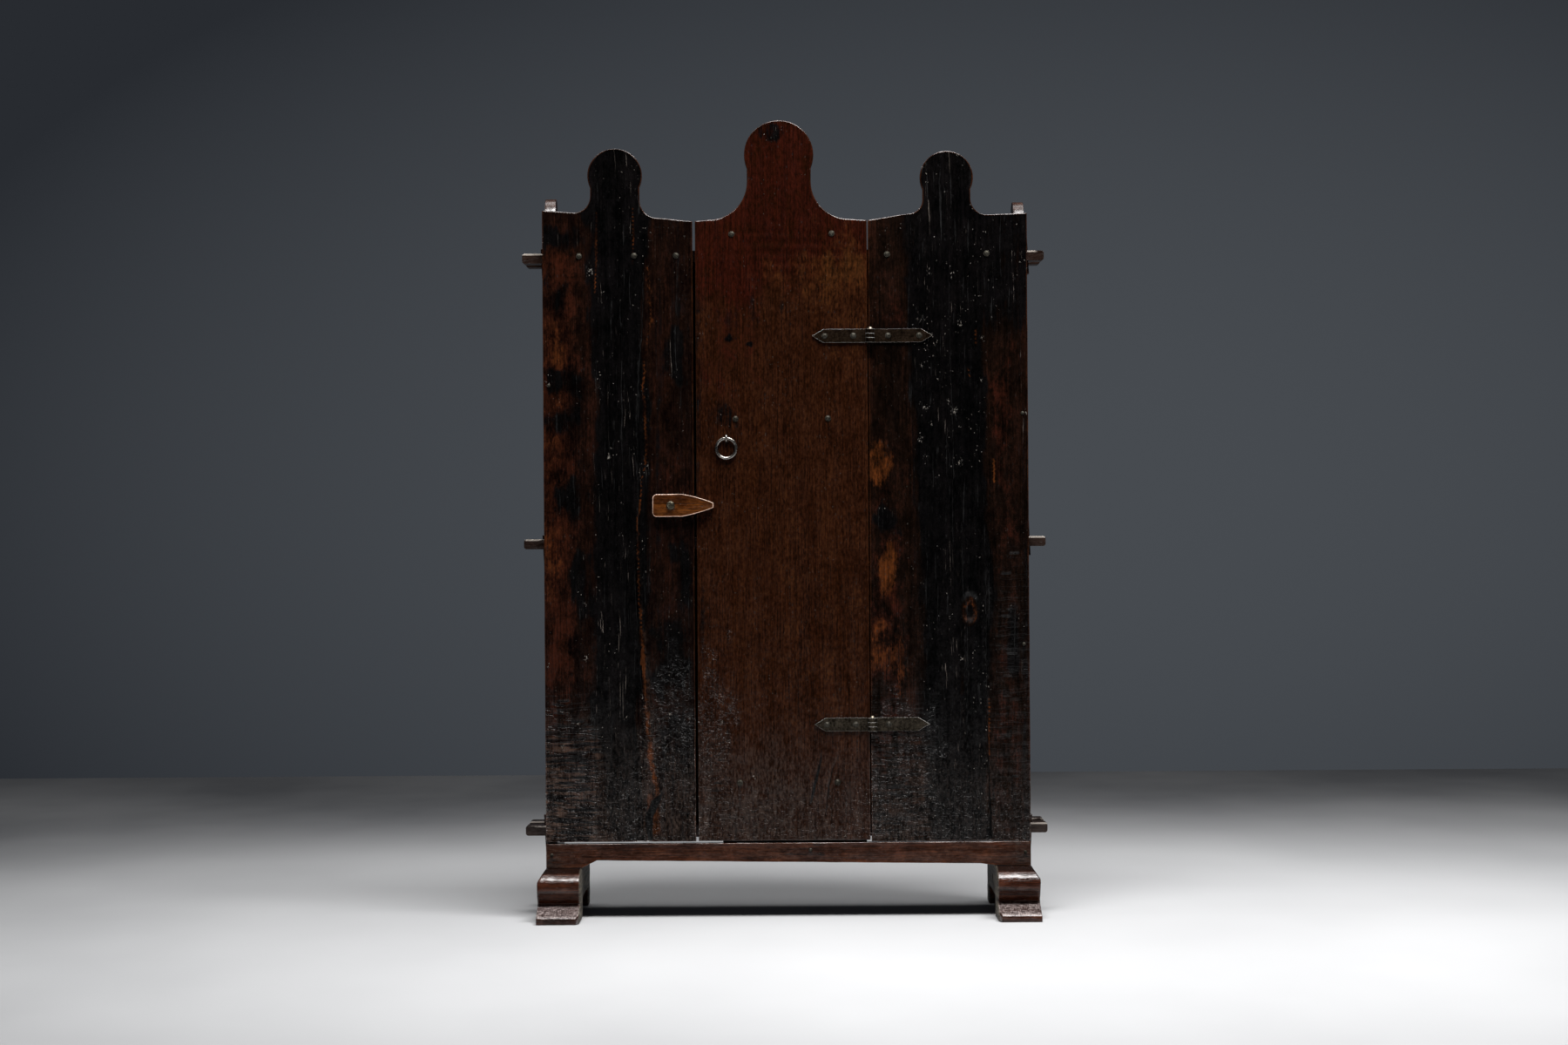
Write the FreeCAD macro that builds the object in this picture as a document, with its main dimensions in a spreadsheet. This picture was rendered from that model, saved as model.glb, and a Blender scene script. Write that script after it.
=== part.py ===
import FreeCAD, Part
import math
import os
import re

import Sketcher

# Knock-down plank cabinet, in millimetres. +Z is up, +X is to the right of someone who faces the door,
# and the front looks along -Y. The origin is on the floor, under the middle of the whole cabinet.

# Driving sizes. Heights count from the floor, unless the name says rise, drop or gap.
SIZES = {
    # Whole front, boards and door
    "front_width": 724,
    "plank_thickness": 18,
    "side_thickness": 17,
    "side_depth": 172,
    "back_thickness": 14,
    "left_plank_width": 224.5,
    "door_width": 257,
    "door_thickness": 17.5,
    "door_gap": 3.5,
    "hinge_gap": 1.2,
    # Sledge feet
    "foot_length": 310,
    "foot_width": 65,
    "foot_height": 76,
    "foot_overhang": 11,
    "foot_chamfer_drop": 16,
    "toe_reach": 85,
    "toe_height": 9,
    "toe_bevel": 3,
    "toe_top_height": 26,
    "toe_setback": 47,
    "nose_setback": 31,
    "nose_bevel_run": 22,
    "nose_bevel_drop": 5,
    "nose_radius": 25,
    "nose_rise": 22,
    "nose_face_height": 44,
    "corner_chamfer_width": 5,
    "corner_chamfer_length": 14,
    "heel_slope": 12,
    "heel_drop": 18,
    "front_pad_length": 98,
    "rear_pad_length": 38,
    "arch_height": 29,
    "arch_corner": 12,
    "tongue_depth": 37,
    "tongue_shoulder": 12,
    "tongue_clearance": 0.2,
    "peg_side": 8,
    "peg_length": 58,
    "peg_recess": 2,
    "peg_height": 51,
    "peg_clearance": 0.1,
    # Apron, door stop and back
    "apron_height": 36,
    "apron_arch_rise": 11,
    "apron_arch_run": 22,
    "apron_sag": 4,
    "left_plank_gap": 2.6,
    "right_plank_gap": 0.8,
    "door_lift": 3,
    "shelf_lift": 8,
    "stop_thickness": 14,
    "left_stop_inset": 36,
    "right_stop_inset": 5,
    "stop_rise": 8,
    "back_gap": 1.5,
    "back_drop": 35,
    # Shelves, through tenons and wedges
    "shelf_thickness": 17,
    "tenon_step": 1,
    "middle_shelf_height": 551,
    "top_shelf_drop": 43,
    "tenon_width": 34,
    "front_tenon_setback": 45,
    "rear_tenon_setback": 42,
    "left_tenon_reach": 33,
    "right_tenon_reach": 28,
    "tenon_round": 4,
    "tenon_clearance": 0.2,
    "wedge_width": 14,
    "wedge_thickness": 5.5,
    "wedge_length": 56,
    "wedge_relief": 1.5,
    "wedge_clearance": 0.2,
    # Sawn crest: rises and drops count from the valleys between the lobes
    "valley_height": 1041,
    "neck_inset": 4,
    "left_corner_rise": 17,
    "left_lobe_offset": 109,
    "left_lobe_radius": 41,
    "left_lobe_rise": 68,
    "left_lobe_outer_cove": 24,
    "left_lobe_outer_foot": 14,
    "left_lobe_inner_cove": 27,
    "left_lobe_inner_foot": 5,
    "middle_lobe_offset": 126,
    "middle_lobe_radius": 52,
    "middle_lobe_rise": 98,
    "middle_lobe_cove": 56,
    "middle_lobe_foot": 2,
    "right_lobe_offset": 118,
    "right_lobe_radius": 40,
    "right_lobe_rise": 62.5,
    "right_lobe_inner_cove": 21,
    "right_lobe_inner_foot": 9,
    "right_lobe_outer_cove": 24,
    "right_lobe_outer_foot": 7,
    "right_corner_rise": 9,
    "ear_offset": 78,
    "ear_radius": 40,
    "ear_inset": 4,
    "ear_cove": 10,
    "left_ear_rise": 42,
    "right_ear_rise": 33,
    # Door battens
    "batten_thickness": 20,
    "batten_inset": 15,
    "batten_width": 42,
    "top_batten_width": 32,
    "top_batten_gap": 4,
    "middle_batten_height": 745,
    "bottom_batten_height": 202,
    # Strap hinges
    "lower_hinge_height": 288,
    "upper_hinge_height": 868,
    "barrel_offset": 2.3,
    "knuckle_radius": 7,
    "hinge_clearance": 0.3,
    "pin_radius": 2.5,
    "pin_clearance": 0.15,
    "pin_head_radius": 4.8,
    "pin_head_height": 3,
    "strap_width": 20,
    "strap_thickness": 2.5,
    "strap_point": 16.5,
    "strap_notch": 6.5,
    "door_strap_reach": 86,
    "upper_frame_strap_reach": 93,
    "lower_frame_strap_reach": 85,
    # Turn button and its screw
    "button_length": 91,
    "button_width": 34,
    "button_thickness": 10,
    "button_corner": 6.5,
    "button_tail": 27,
    "button_straight": 17,
    "button_tip": 7.5,
    "button_bow": 1.4,
    "button_inset": 35,
    "button_height": 616.5,
    "button_clearance": 0.3,
    "screw_radius": 2.5,
    "screw_length": 26,
    "screw_clearance": 0.15,
    "screw_head_radius": 6.5,
    "screw_head_height": 2.6,
    "screw_slot_width": 1.4,
    "screw_slot_depth": 1.3,
    # Ring pull and its staple
    "ring_radius": 14.75,
    "ring_wire_radius": 2.25,
    "ring_clearance": 0.5,
    "ring_inset": 45,
    "ring_pivot_height": 716,
    "staple_wire_radius": 1.75,
    "staple_clearance": 0.7,
    "staple_depth": 12,
    # Nails
    "rose_head_radius": 5,
    "small_head_radius": 3.2,
    "nail_head_height": 2,
    "nail_shank_radius": 1.5,
    "nail_length": 29,
    "strap_nail_length": 14,
    "nail_clearance": 0.1,
    "cut_overrun": 1,
}

# Places worked out from the sizes.
PLACES = {
    "front_face": "toe_reach - foot_length / 2",
    "seat_face": "front_face + plank_thickness",
    "side_back": "seat_face + side_depth",
    "back_face": "side_back + back_thickness",
    "side_outside": "front_width / 2",
    "side_inside": "side_outside - side_thickness",
    "foot_outside": "side_outside + foot_overhang",
    "foot_inside": "foot_outside - foot_width",
    "apron_top": "foot_height + apron_height",
    "left_plank_foot": "apron_top + left_plank_gap",
    "right_plank_foot": "apron_top + right_plank_gap",
    "door_foot": "apron_top + door_lift",
    "left_plank_inner": "left_plank_width - side_outside",
    "door_left": "left_plank_inner + door_gap",
    "door_right": "door_left + door_width",
    "right_plank_inner": "door_right + hinge_gap",
    "right_plank_width": "side_outside - right_plank_inner",
    "nose_top_inset": "nose_radius - sqrt(nose_radius ^ 2 - nose_rise ^ 2)",
    "peg_place": "seat_face + side_depth * 0.36",
    "back_plank_width": "(front_width - 2 * back_gap) / 3",
    "bottom_shelf_height": "apron_top + shelf_lift",
    "top_shelf_height": "valley_height - top_shelf_drop - shelf_thickness",
    "front_tenon": "seat_face + front_tenon_setback",
    "rear_tenon": "side_back - rear_tenon_setback",
    "hinge_axis_x": "right_plank_inner + barrel_offset",
    "hinge_axis_y": "front_face - knuckle_radius - hinge_clearance",
    "knuckle_height": "strap_width / 3",
    "button_x": "left_plank_inner - button_inset",
    "button_face": "front_face - button_clearance - button_thickness",
    "ring_x": "door_left + ring_inset",
    "ring_y": "front_face - ring_wire_radius - ring_clearance",
    "staple_leg_rise": "ring_wire_radius + staple_clearance + staple_wire_radius",
    "nail_hole": "nail_shank_radius + nail_clearance",
    "tenon_thickness": "shelf_thickness - 2 * tenon_step",
}

# Where nails stand, as shares of the width of the board they hold.
LEFT_PLANK_NAIL_SHARES = (0.246, 0.611, 0.889)
RIGHT_PLANK_NAIL_SHARES = (0.12, 0.745)
DOOR_NAIL_SHARES = {"top": (0.213, 0.795), "middle": (0.230, 0.767), "bottom": (0.243, 0.810)}
BACK_NAIL_SHARES = (0.2, 0.8)
STRAP_NAIL_SHARES = (0.29, 0.79)
STOP_NAIL_SHARE = 0.65
# Heights of the small nails in the side boards, as shares of the height of the planks.
LEFT_EDGE_NAIL_SHARES = (0.737,)
RIGHT_EDGE_NAIL_SHARES = (0.317, 0.688)

# A wedge grows by this share of its length. The other share is how far it stands up out of its tenon.
WEDGE_SLOPE_SHARE = 0.05
WEDGES = {
    "left_top_front": ("left", "top", "front", 1, 0.20),
    "left_top_rear": ("left", "top", "rear", 1, 0.27),
    "left_middle_front": ("left", "middle", "front", 1, 0.15),
    "left_middle_rear": ("left", "middle", "rear", 1, 0.25),
    "left_bottom_front": ("left", "bottom", "front", 1, 0.38),
    "left_bottom_rear": ("left", "bottom", "rear", 1, 0.52),
    "right_top_front": ("right", "top", "front", -1, 0.50),
    "right_top_rear": ("right", "top", "rear", -1, 0.42),
    "right_middle_front": ("right", "middle", "front", -1, 0.66),
    "right_middle_rear": ("right", "middle", "rear", 1, 0.30),
    "right_bottom_front": ("right", "bottom", "front", 1, 0.28),
    "right_bottom_rear": ("right", "bottom", "rear", 1, 0.40),
}

SIDES = {"left": -1, "right": 1}
LEVELS = {
    "bottom": "bottom_shelf_height",
    "middle": "middle_shelf_height",
    "top": "top_shelf_height",
}
TENONS = {"front": "front_tenon", "rear": "rear_tenon"}

doc = FreeCAD.newDocument("Cabinet")
sizes = doc.addObject("Spreadsheet::Sheet", "sizes")
for row, (name, size) in enumerate(SIZES.items(), start=1):
    sizes.set("A%d" % row, name)
    sizes.set("B%d" % row, str(size))
    sizes.setAlias("B%d" % row, name)
doc.recompute()

NODES = []


def formula(text):
    """The text with every size and place written out in cells of the sheet."""

    def written_out(match):
        name = match.group()
        if name in PLACES:
            return "(" + formula(PLACES[name]) + ")"
        return "sizes." + name if name in SIZES else name

    return re.sub(r"[a-z_]+", written_out, text)


def value(text):
    return float(sizes.evalExpression(formula(text)))


def bind(thing, prop, text):
    thing.setExpression(prop, formula(text))


def place(thing, x="0", y="0", z="0"):
    for axis, text in zip("xyz", (x, y, z)):
        bind(thing, "Placement.Base." + axis, text)


def node(thing, label):
    thing.Label = label
    NODES.append(thing)
    return thing


def new_body(label, x="0", y="0", z="0"):
    piece = node(doc.addObject("PartDesign::Body", label), label)
    place(piece, x, y, z)
    return piece


def new_sketch(piece, plane, offset="0"):
    """An empty sketch on one of the body's own planes, moved along the plane's normal."""
    sketch = piece.newObject("Sketcher::SketchObject", piece.Name + "_sketch")
    origin_plane = next(item for item in piece.Origin.OriginFeatures if item.Role == plane)
    sketch.AttachmentSupport = [(origin_plane, "")]
    sketch.MapMode = "FlatFace"
    bind(sketch, "AttachmentOffset.Base.z", offset)
    return sketch


def pin_point(sketch, edge, end, corner):
    """Ties one end of an edge to its place, across and up."""
    for kind, axis, text in (("DistanceX", -2, corner[0]), ("DistanceY", -1, corner[1])):
        distance = value(text)
        if text == "0":
            sketch.addConstraint(Sketcher.Constraint("PointOnObject", edge, end, axis))
        else:
            made = sketch.addConstraint(Sketcher.Constraint(kind, -1, 1, edge, end, distance))
            bind(sketch, "Constraints[%d]" % made, text)


def arc_edge(first, last, radius, turn, major):
    """The arc of this radius between two points; turn is 1 where it runs anticlockwise."""
    chord = last - first
    rise = math.sqrt(max(radius ** 2 - (chord.Length / 2) ** 2, 0))
    normal = FreeCAD.Vector(-chord.y, chord.x, 0).normalize()
    centre = (first + last) / 2 + normal * rise * turn * (-1 if major else 1)
    start, end = (first, last) if turn > 0 else (last, first)
    angles = [math.atan2(point.y - centre.y, point.x - centre.x) for point in (start, end)]
    circle = Part.Circle(centre, FreeCAD.Vector(0, 0, 1), radius)
    return Part.ArcOfCircle(circle, angles[0], angles[1])


def outline(piece, plane, corners, offset="0"):
    """A closed outline. A corner is (across, up), or (across, up, radius, turn, major) where an arc
    leads to it."""
    sketch = new_sketch(piece, plane, offset)
    points = [FreeCAD.Vector(value(corner[0]), value(corner[1]), 0) for corner in corners]
    ends = []
    for index, corner in enumerate(corners):
        first = points[index - 1]
        if len(corner) == 2:
            edge = sketch.addGeometry(Part.LineSegment(first, points[index]))
            ends.append((edge, 1, 2))
        else:
            radius, turn, major = corner[2:]
            edge = sketch.addGeometry(arc_edge(first, points[index], value(radius), turn, major))
            ends.append((edge, 1, 2) if turn > 0 else (edge, 2, 1))
    for index, (edge, start, end) in enumerate(ends):
        earlier = ends[index - 1]
        sketch.addConstraint(Sketcher.Constraint("Coincident", earlier[0], earlier[2], edge, start))
    for corner, (edge, start, end) in zip(corners, ends):
        pin_point(sketch, edge, end, corner)
        if len(corner) > 2:
            made = sketch.addConstraint(Sketcher.Constraint("Radius", edge, value(corner[2])))
            bind(sketch, "Constraints[%d]" % made, corner[2])
    return sketch


def circles(piece, plane, spots, radius, offset="0"):
    sketch = new_sketch(piece, plane, offset)
    for spot in spots:
        centre = FreeCAD.Vector(value(spot[0]), value(spot[1]), 0)
        edge = sketch.addGeometry(Part.Circle(centre, FreeCAD.Vector(0, 0, 1), value(radius)))
        pin_point(sketch, edge, 3, spot)
        made = sketch.addConstraint(Sketcher.Constraint("Radius", edge, value(radius)))
        bind(sketch, "Constraints[%d]" % made, radius)
    return sketch


def rectangle(left, right, low, high):
    return [(left, low), (left, high), (right, high), (right, low)]


def extrude(kind, piece, sketch, length, reverse=False, both_ways=False):
    feature = piece.newObject("PartDesign::" + kind, piece.Name + "_" + kind.lower())
    feature.Profile = sketch
    bind(feature, "Length", length)
    feature.Reversed = reverse
    if both_ways:
        feature.SideType = "Symmetric"
    sketch.Visibility = False
    return feature


def pad(piece, sketch, length, reverse=False, both_ways=False):
    return extrude("Pad", piece, sketch, length, reverse, both_ways)


def pocket(piece, sketch, length, reverse=False, both_ways=False):
    return extrude("Pocket", piece, sketch, length, reverse, both_ways)


def front_board(label, corners, y, thickness):
    """A board whose face is drawn as seen from the front, and which is as thick as given from y on."""
    piece = new_body(label, y=y)
    pad(piece, outline(piece, "XZ_Plane", corners), thickness, reverse=True)
    return piece


def drill_front(piece, spots, radius, depth):
    """Round holes from the face of a front board inwards."""
    pocket(piece, circles(piece, "XZ_Plane", spots, radius), depth)


def minus(text):
    return "-(" + text + ")"


def mirrored(sign, text):
    return text if sign > 0 else minus(text)


# Sawn crest


def lobe(centre, radius, inset, top, left, right, undercut=True):
    """Corners over one lobe, from left to right. left and right are (cove radius, height of its foot).
    An undercut lobe is narrower at its neck than at its middle."""
    half_neck = "(%s - %s)" % (radius, inset)
    middle = "(%s - %s)" % (top, radius)
    sink = "sqrt((%s) ^ 2 - (%s) ^ 2)" % (radius, half_neck)
    spring = "%s %s %s" % (middle, "-" if undercut else "+", sink)
    start = "%s - %s" % (centre, half_neck)
    end = "%s + %s" % (centre, half_neck)
    return [
        ("%s - %s" % (start, left[0]), left[1]),
        (start, "%s + %s" % (left[1], left[0]), left[0], 1, False),
        (start, spring),
        (end, spring, radius, -1, undercut),
        (end, "%s + %s" % (right[1], right[0])),
        ("%s + %s" % (end, right[0]), right[1], right[0], 1, False),
    ]


def front_lobe(name, centre, left_side, right_side):
    coves = [
        ("%s_cove" % side, "valley_height + %s_foot" % side)
        for side in (left_side, right_side)
    ]
    top = "(valley_height + %s_rise + %s_radius)" % (name, name)
    return lobe(centre, name + "_radius", "neck_inset", top, coves[0], coves[1])


# Sledge feet with their arch, moulded nose and toe


def make_foot(side):
    sign = SIDES[side]
    inner = mirrored(sign, "foot_inside")
    outer = mirrored(sign, "foot_outside")
    piece = new_body(side + "_foot", x=inner)
    toe = "(-foot_length / 2)"
    heel = "(foot_length / 2)"
    nose = "(%s + nose_setback)" % toe
    arch_front = "(%s + front_pad_length)" % toe
    arch_rear = "(%s - rear_pad_length)" % heel
    profile = [
        (heel, "0"),
        (heel, "foot_height - heel_drop"),
        ("%s - heel_slope" % heel, "foot_height"),
        ("%s + nose_top_inset + nose_bevel_run" % nose, "foot_height"),
        ("%s + nose_top_inset" % nose, "foot_height - nose_bevel_drop"),
        (nose, "foot_height - nose_bevel_drop - nose_rise", "nose_radius", 1, False),
        (nose, "nose_face_height"),
        ("%s + toe_setback" % toe, "toe_top_height", "foot_height", 1, False),
        ("%s + toe_bevel" % toe, "toe_height + toe_bevel"),
        (toe, "toe_height"),
        (toe, "0"),
        (arch_front, "0"),
        (arch_front, "arch_height - arch_corner"),
        ("%s + arch_corner" % arch_front, "arch_height", "arch_corner", -1, False),
        ("%s - arch_corner" % arch_rear, "arch_height"),
        (arch_rear, "arch_height - arch_corner", "arch_corner", -1, False),
        (arch_rear, "0"),
    ]
    pad(piece, outline(piece, "YZ_Plane", profile), "foot_width", reverse=sign < 0)
    full_width = mirrored(sign, "foot_width")
    face = mirrored(sign, "(foot_width - foot_overhang)")
    chamfer = [
        (full_width, "foot_height - foot_chamfer_drop"),
        (face, "foot_height"),
        (full_width, "foot_height"),
    ]
    pocket(piece, outline(piece, "XZ_Plane", chamfer), "2 * foot_length", both_ways=True)
    corner = [
        ("0", toe),
        (mirrored(sign, "corner_chamfer_width"), toe),
        ("0", "%s + corner_chamfer_length" % toe),
    ]
    pocket(piece, outline(piece, "XY_Plane", corner), "2 * foot_height", both_ways=True)
    slot = rectangle(
        mirrored(sign, "(foot_width - foot_overhang - side_thickness - tongue_clearance)"),
        mirrored(sign, "(foot_width - foot_overhang + tongue_clearance)"),
        "seat_face + tongue_shoulder - tongue_clearance",
        "side_back - tongue_shoulder + tongue_clearance",
    )
    groove = outline(piece, "XY_Plane", slot, offset="foot_height")
    pocket(piece, groove, "tongue_depth + tongue_clearance")
    hole = rectangle(
        "peg_place - peg_side / 2 - peg_clearance",
        "peg_place + peg_side / 2 + peg_clearance",
        "peg_height - peg_side / 2 - peg_clearance",
        "peg_height + peg_side / 2 + peg_clearance",
    )
    pocket(piece, outline(piece, "YZ_Plane", hole), "peg_length + peg_recess", reverse=sign > 0)
    return piece


def make_foot_pegs():
    pegs = []
    for side, sign in SIDES.items():
        peg = doc.addObject("Part::Box", side + "_foot_peg")
        bind(peg, "Length", "peg_length")
        bind(peg, "Width", "peg_side")
        bind(peg, "Height", "peg_side")
        start = "foot_inside + peg_recess" if sign > 0 else "-(foot_inside + peg_recess + peg_length)"
        place(peg, start, "peg_place - peg_side / 2", "peg_height - peg_side / 2")
        pegs.append(peg)
    return gathered("foot_pegs", pegs)


def gathered(label, pieces):
    group = node(doc.addObject("Part::Compound", label), label)
    group.Links = pieces
    return group


# Side boards: tongue below, six mortises, sawn ear on top


def make_side(side):
    sign = SIDES[side]
    piece = new_body(side + "_side", x=mirrored(sign, "side_inside"))
    crest = "(valley_height + %s_ear_rise)" % side
    cove = ("ear_cove", "valley_height")
    ear = lobe("seat_face + ear_offset", "ear_radius", "ear_inset", crest, cove, cove, undercut=False)
    profile = [
        ("side_back", "foot_height"),
        ("side_back - tongue_shoulder", "foot_height"),
        ("side_back - tongue_shoulder", "foot_height - tongue_depth"),
        ("seat_face + tongue_shoulder", "foot_height - tongue_depth"),
        ("seat_face + tongue_shoulder", "foot_height"),
        ("seat_face", "foot_height"),
        ("seat_face", "valley_height"),
        *ear,
        ("side_back", "valley_height"),
    ]
    pad(piece, outline(piece, "YZ_Plane", profile), "side_thickness", reverse=sign < 0)
    for level in LEVELS.values():
        for tenon in TENONS.values():
            mortise = rectangle(
                "%s - tenon_width / 2 - tenon_clearance" % tenon,
                "%s + tenon_width / 2 + tenon_clearance" % tenon,
                "%s + tenon_step - tenon_clearance" % level,
                "%s + shelf_thickness - tenon_step + tenon_clearance" % level,
            )
            cut = outline(piece, "YZ_Plane", mortise)
            pocket(piece, cut, "side_thickness + cut_overrun", reverse=sign > 0)
    hole = rectangle(
        "peg_place - peg_side / 2 - peg_clearance",
        "peg_place + peg_side / 2 + peg_clearance",
        "peg_height - peg_side / 2 - peg_clearance",
        "peg_height + peg_side / 2 + peg_clearance",
    )
    pocket(piece, outline(piece, "YZ_Plane", hole), "side_thickness + cut_overrun", reverse=sign > 0)
    middle = mirrored(sign, "side_thickness / 2")
    spots = [(middle, height) for height in edge_nail_heights(side)]
    edge = circles(piece, "XZ_Plane", spots, "nail_hole", offset=minus("seat_face"))
    pocket(piece, edge, "nail_length - plank_thickness")
    return piece


def edge_nail_heights(side):
    """Heights of the small nails through the front boards into a side board, the apron's nail last."""
    shares = LEFT_EDGE_NAIL_SHARES if side == "left" else RIGHT_EDGE_NAIL_SHARES
    heights = ["apron_top + (valley_height - apron_top) * %g" % share for share in shares]
    return heights + ["foot_height + apron_height * 0.55"]


# Shelves with through tenons and slanted wedge holes


def wedge_thickness_at(height, slope):
    return "(wedge_thickness + (%s - shelf_thickness / 2) * %g)" % (height, slope)


def make_shelf(level):
    height = LEVELS[level]
    piece = new_body(level + "_shelf", z=height)
    left_tip = "-(side_outside + left_tenon_reach)"
    right_tip = "side_outside + right_tenon_reach"
    board = rectangle("-side_inside", "side_inside", "seat_face", "side_back")
    pad(piece, outline(piece, "XY_Plane", board), "shelf_thickness")
    for tenon in TENONS.values():
        edges = ("%s - tenon_width / 2" % tenon, "%s + tenon_width / 2" % tenon)
        strip = outline(piece, "XY_Plane", rectangle(left_tip, right_tip, *edges), offset="tenon_step")
        last = pad(piece, strip, "tenon_thickness")
    doc.recompute()
    tips = [value(left_tip), value(right_tip)]
    round_edges(piece, last, "tenon_round", lambda edge: is_tip_edge(edge, tips))
    for side, wedge_level, tenon, slope, rise_share in WEDGES.values():
        if wedge_level != level:
            continue
        sign = SIDES[side]
        slope *= WEDGE_SLOPE_SHARE
        low = "-cut_overrun"
        high = "shelf_thickness + cut_overrun"
        low_face = "side_outside + %s + wedge_clearance" % wedge_thickness_at(low, slope)
        high_face = "side_outside + %s + wedge_clearance" % wedge_thickness_at(high, slope)
        hole = [
            (mirrored(sign, "(side_outside - wedge_relief)"), low),
            (mirrored(sign, "(side_outside - wedge_relief)"), high),
            (mirrored(sign, "(%s)" % high_face), high),
            (mirrored(sign, "(%s)" % low_face), low),
        ]
        cut = outline(piece, "XZ_Plane", hole, offset=minus(TENONS[tenon]))
        pocket(piece, cut, "wedge_width + 2 * wedge_clearance", both_ways=True)
    middle = "shelf_thickness / 2"
    if level == "top":
        front = [(x, middle) for x in plank_nail_places()]
        drilled = circles(piece, "XZ_Plane", front, "nail_hole", offset=minus("seat_face"))
        pocket(piece, drilled, "nail_length - plank_thickness")
    if level != "middle":
        back = [(x, middle) for x in back_nail_places()]
        drilled = circles(piece, "XZ_Plane", back, "nail_hole", offset=minus("side_back"))
        pocket(piece, drilled, "nail_length - back_thickness", reverse=True)
    return piece


def round_edges(piece, base, radius, wanted):
    names = ["Edge%d" % (i + 1) for i, edge in enumerate(base.Shape.Edges) if wanted(edge)]
    rounded = piece.newObject("PartDesign::Fillet", piece.Name + "_fillet")
    rounded.Base = (base, names)
    bind(rounded, "Radius", radius)
    return rounded


def is_tip_edge(edge, tips):
    """True for the long edges across the end of a tenon."""
    box = edge.BoundBox
    flat = box.XLength < 1e-6 and box.ZLength < 1e-6
    return flat and any(abs(box.XMin - tip) < 1e-3 for tip in tips)


def plank_nail_places():
    left = ["left_plank_width * %g - side_outside" % share for share in LEFT_PLANK_NAIL_SHARES]
    right = ["right_plank_inner + right_plank_width * %g" % share for share in RIGHT_PLANK_NAIL_SHARES]
    return left + right


def make_wedge(label, side, level, tenon, slope, rise_share):
    sign = SIDES[side]
    slope *= WEDGE_SLOPE_SHARE
    piece = new_body(
        "wedge_" + label, x=mirrored(sign, "side_outside"), y=TENONS[tenon], z=LEVELS[level]
    )
    spare = "(wedge_length - shelf_thickness)"
    low = "-%s * %g" % (spare, 1 - rise_share)
    high = "(shelf_thickness + %s * %g)" % (spare, rise_share)
    profile = [
        ("0", low),
        ("0", high),
        (mirrored(sign, wedge_thickness_at(high, slope)), high),
        (mirrored(sign, wedge_thickness_at(low, slope)), low),
    ]
    pad(piece, outline(piece, "XZ_Plane", profile), "wedge_width", both_ways=True)
    return piece


# Front boards


def make_left_plank():
    crest = front_lobe(
        "left_lobe", "left_lobe_offset - side_outside", "left_lobe_outer", "left_lobe_inner"
    )
    corners = [
        ("-side_outside", "left_plank_foot"),
        ("-side_outside", "valley_height + left_corner_rise"),
        *crest,
        ("left_plank_inner", "valley_height"),
        ("left_plank_inner", "left_plank_foot"),
    ]
    piece = front_board("left_front_plank", corners, "front_face", "plank_thickness")
    spots = [(x, "top_shelf_height + shelf_thickness / 2") for x in plank_nail_places()[:3]]
    spots += [("side_thickness / 2 - side_outside", z) for z in edge_nail_heights("left")[:-1]]
    drill_front(piece, spots, "nail_hole", "plank_thickness")
    screw_depth = "screw_length - button_thickness - button_clearance"
    drill_front(piece, [("button_x", "button_height")], "screw_radius + screw_clearance", screw_depth)
    return piece


def make_right_plank():
    crest = front_lobe(
        "right_lobe", "right_plank_inner + right_lobe_offset", "right_lobe_inner", "right_lobe_outer"
    )
    corners = [
        ("right_plank_inner", "right_plank_foot"),
        ("right_plank_inner", "valley_height"),
        *crest,
        ("side_outside", "valley_height + right_corner_rise"),
        ("side_outside", "right_plank_foot"),
    ]
    piece = front_board("right_front_plank", corners, "front_face", "plank_thickness")
    spots = [(x, "top_shelf_height + shelf_thickness / 2") for x in plank_nail_places()[3:]]
    spots += [("side_outside - side_thickness / 2", z) for z in edge_nail_heights("right")[:-1]]
    drill_front(piece, spots, "nail_hole", "plank_thickness")
    drill_front(piece, strap_nail_spots(1), "nail_hole", "strap_nail_length - strap_thickness")
    return piece


def make_apron():
    corners = [
        ("-side_outside", "foot_height"),
        ("-side_outside", "apron_top"),
        ("side_outside", "apron_top"),
        ("side_outside", "foot_height"),
        ("foot_inside", "foot_height"),
        ("foot_inside - apron_arch_run", "foot_height + apron_arch_rise - 2 * apron_sag"),
        ("apron_arch_run - foot_inside", "foot_height + apron_arch_rise"),
        ("-foot_inside", "foot_height"),
    ]
    piece = front_board("apron", corners, "front_face", "plank_thickness")
    drill_front(piece, apron_nail_spots(), "nail_hole", "plank_thickness")
    return piece


def apron_nail_spots():
    return [
        ("side_thickness / 2 - side_outside", edge_nail_heights("left")[-1]),
        ("side_outside - side_thickness / 2", edge_nail_heights("right")[-1]),
        ("door_left + door_width * %g" % STOP_NAIL_SHARE, "foot_height + apron_height * 0.7"),
    ]


def make_door_stop():
    corners = rectangle(
        "door_left + left_stop_inset", "door_right - right_stop_inset",
        "foot_height + stop_rise", "bottom_shelf_height",
    )
    piece = front_board("door_stop", corners, "seat_face", "stop_thickness")
    drill_front(piece, apron_nail_spots()[2:], "nail_hole", "nail_length - plank_thickness")
    return piece


# Back planks


def back_plank_left(index):
    return "(back_plank_width + back_gap) * %d - side_outside" % index


def back_nail_places():
    return [
        "%s + back_plank_width * %g" % (back_plank_left(index), share)
        for index in range(3)
        for share in BACK_NAIL_SHARES
    ]


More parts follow.
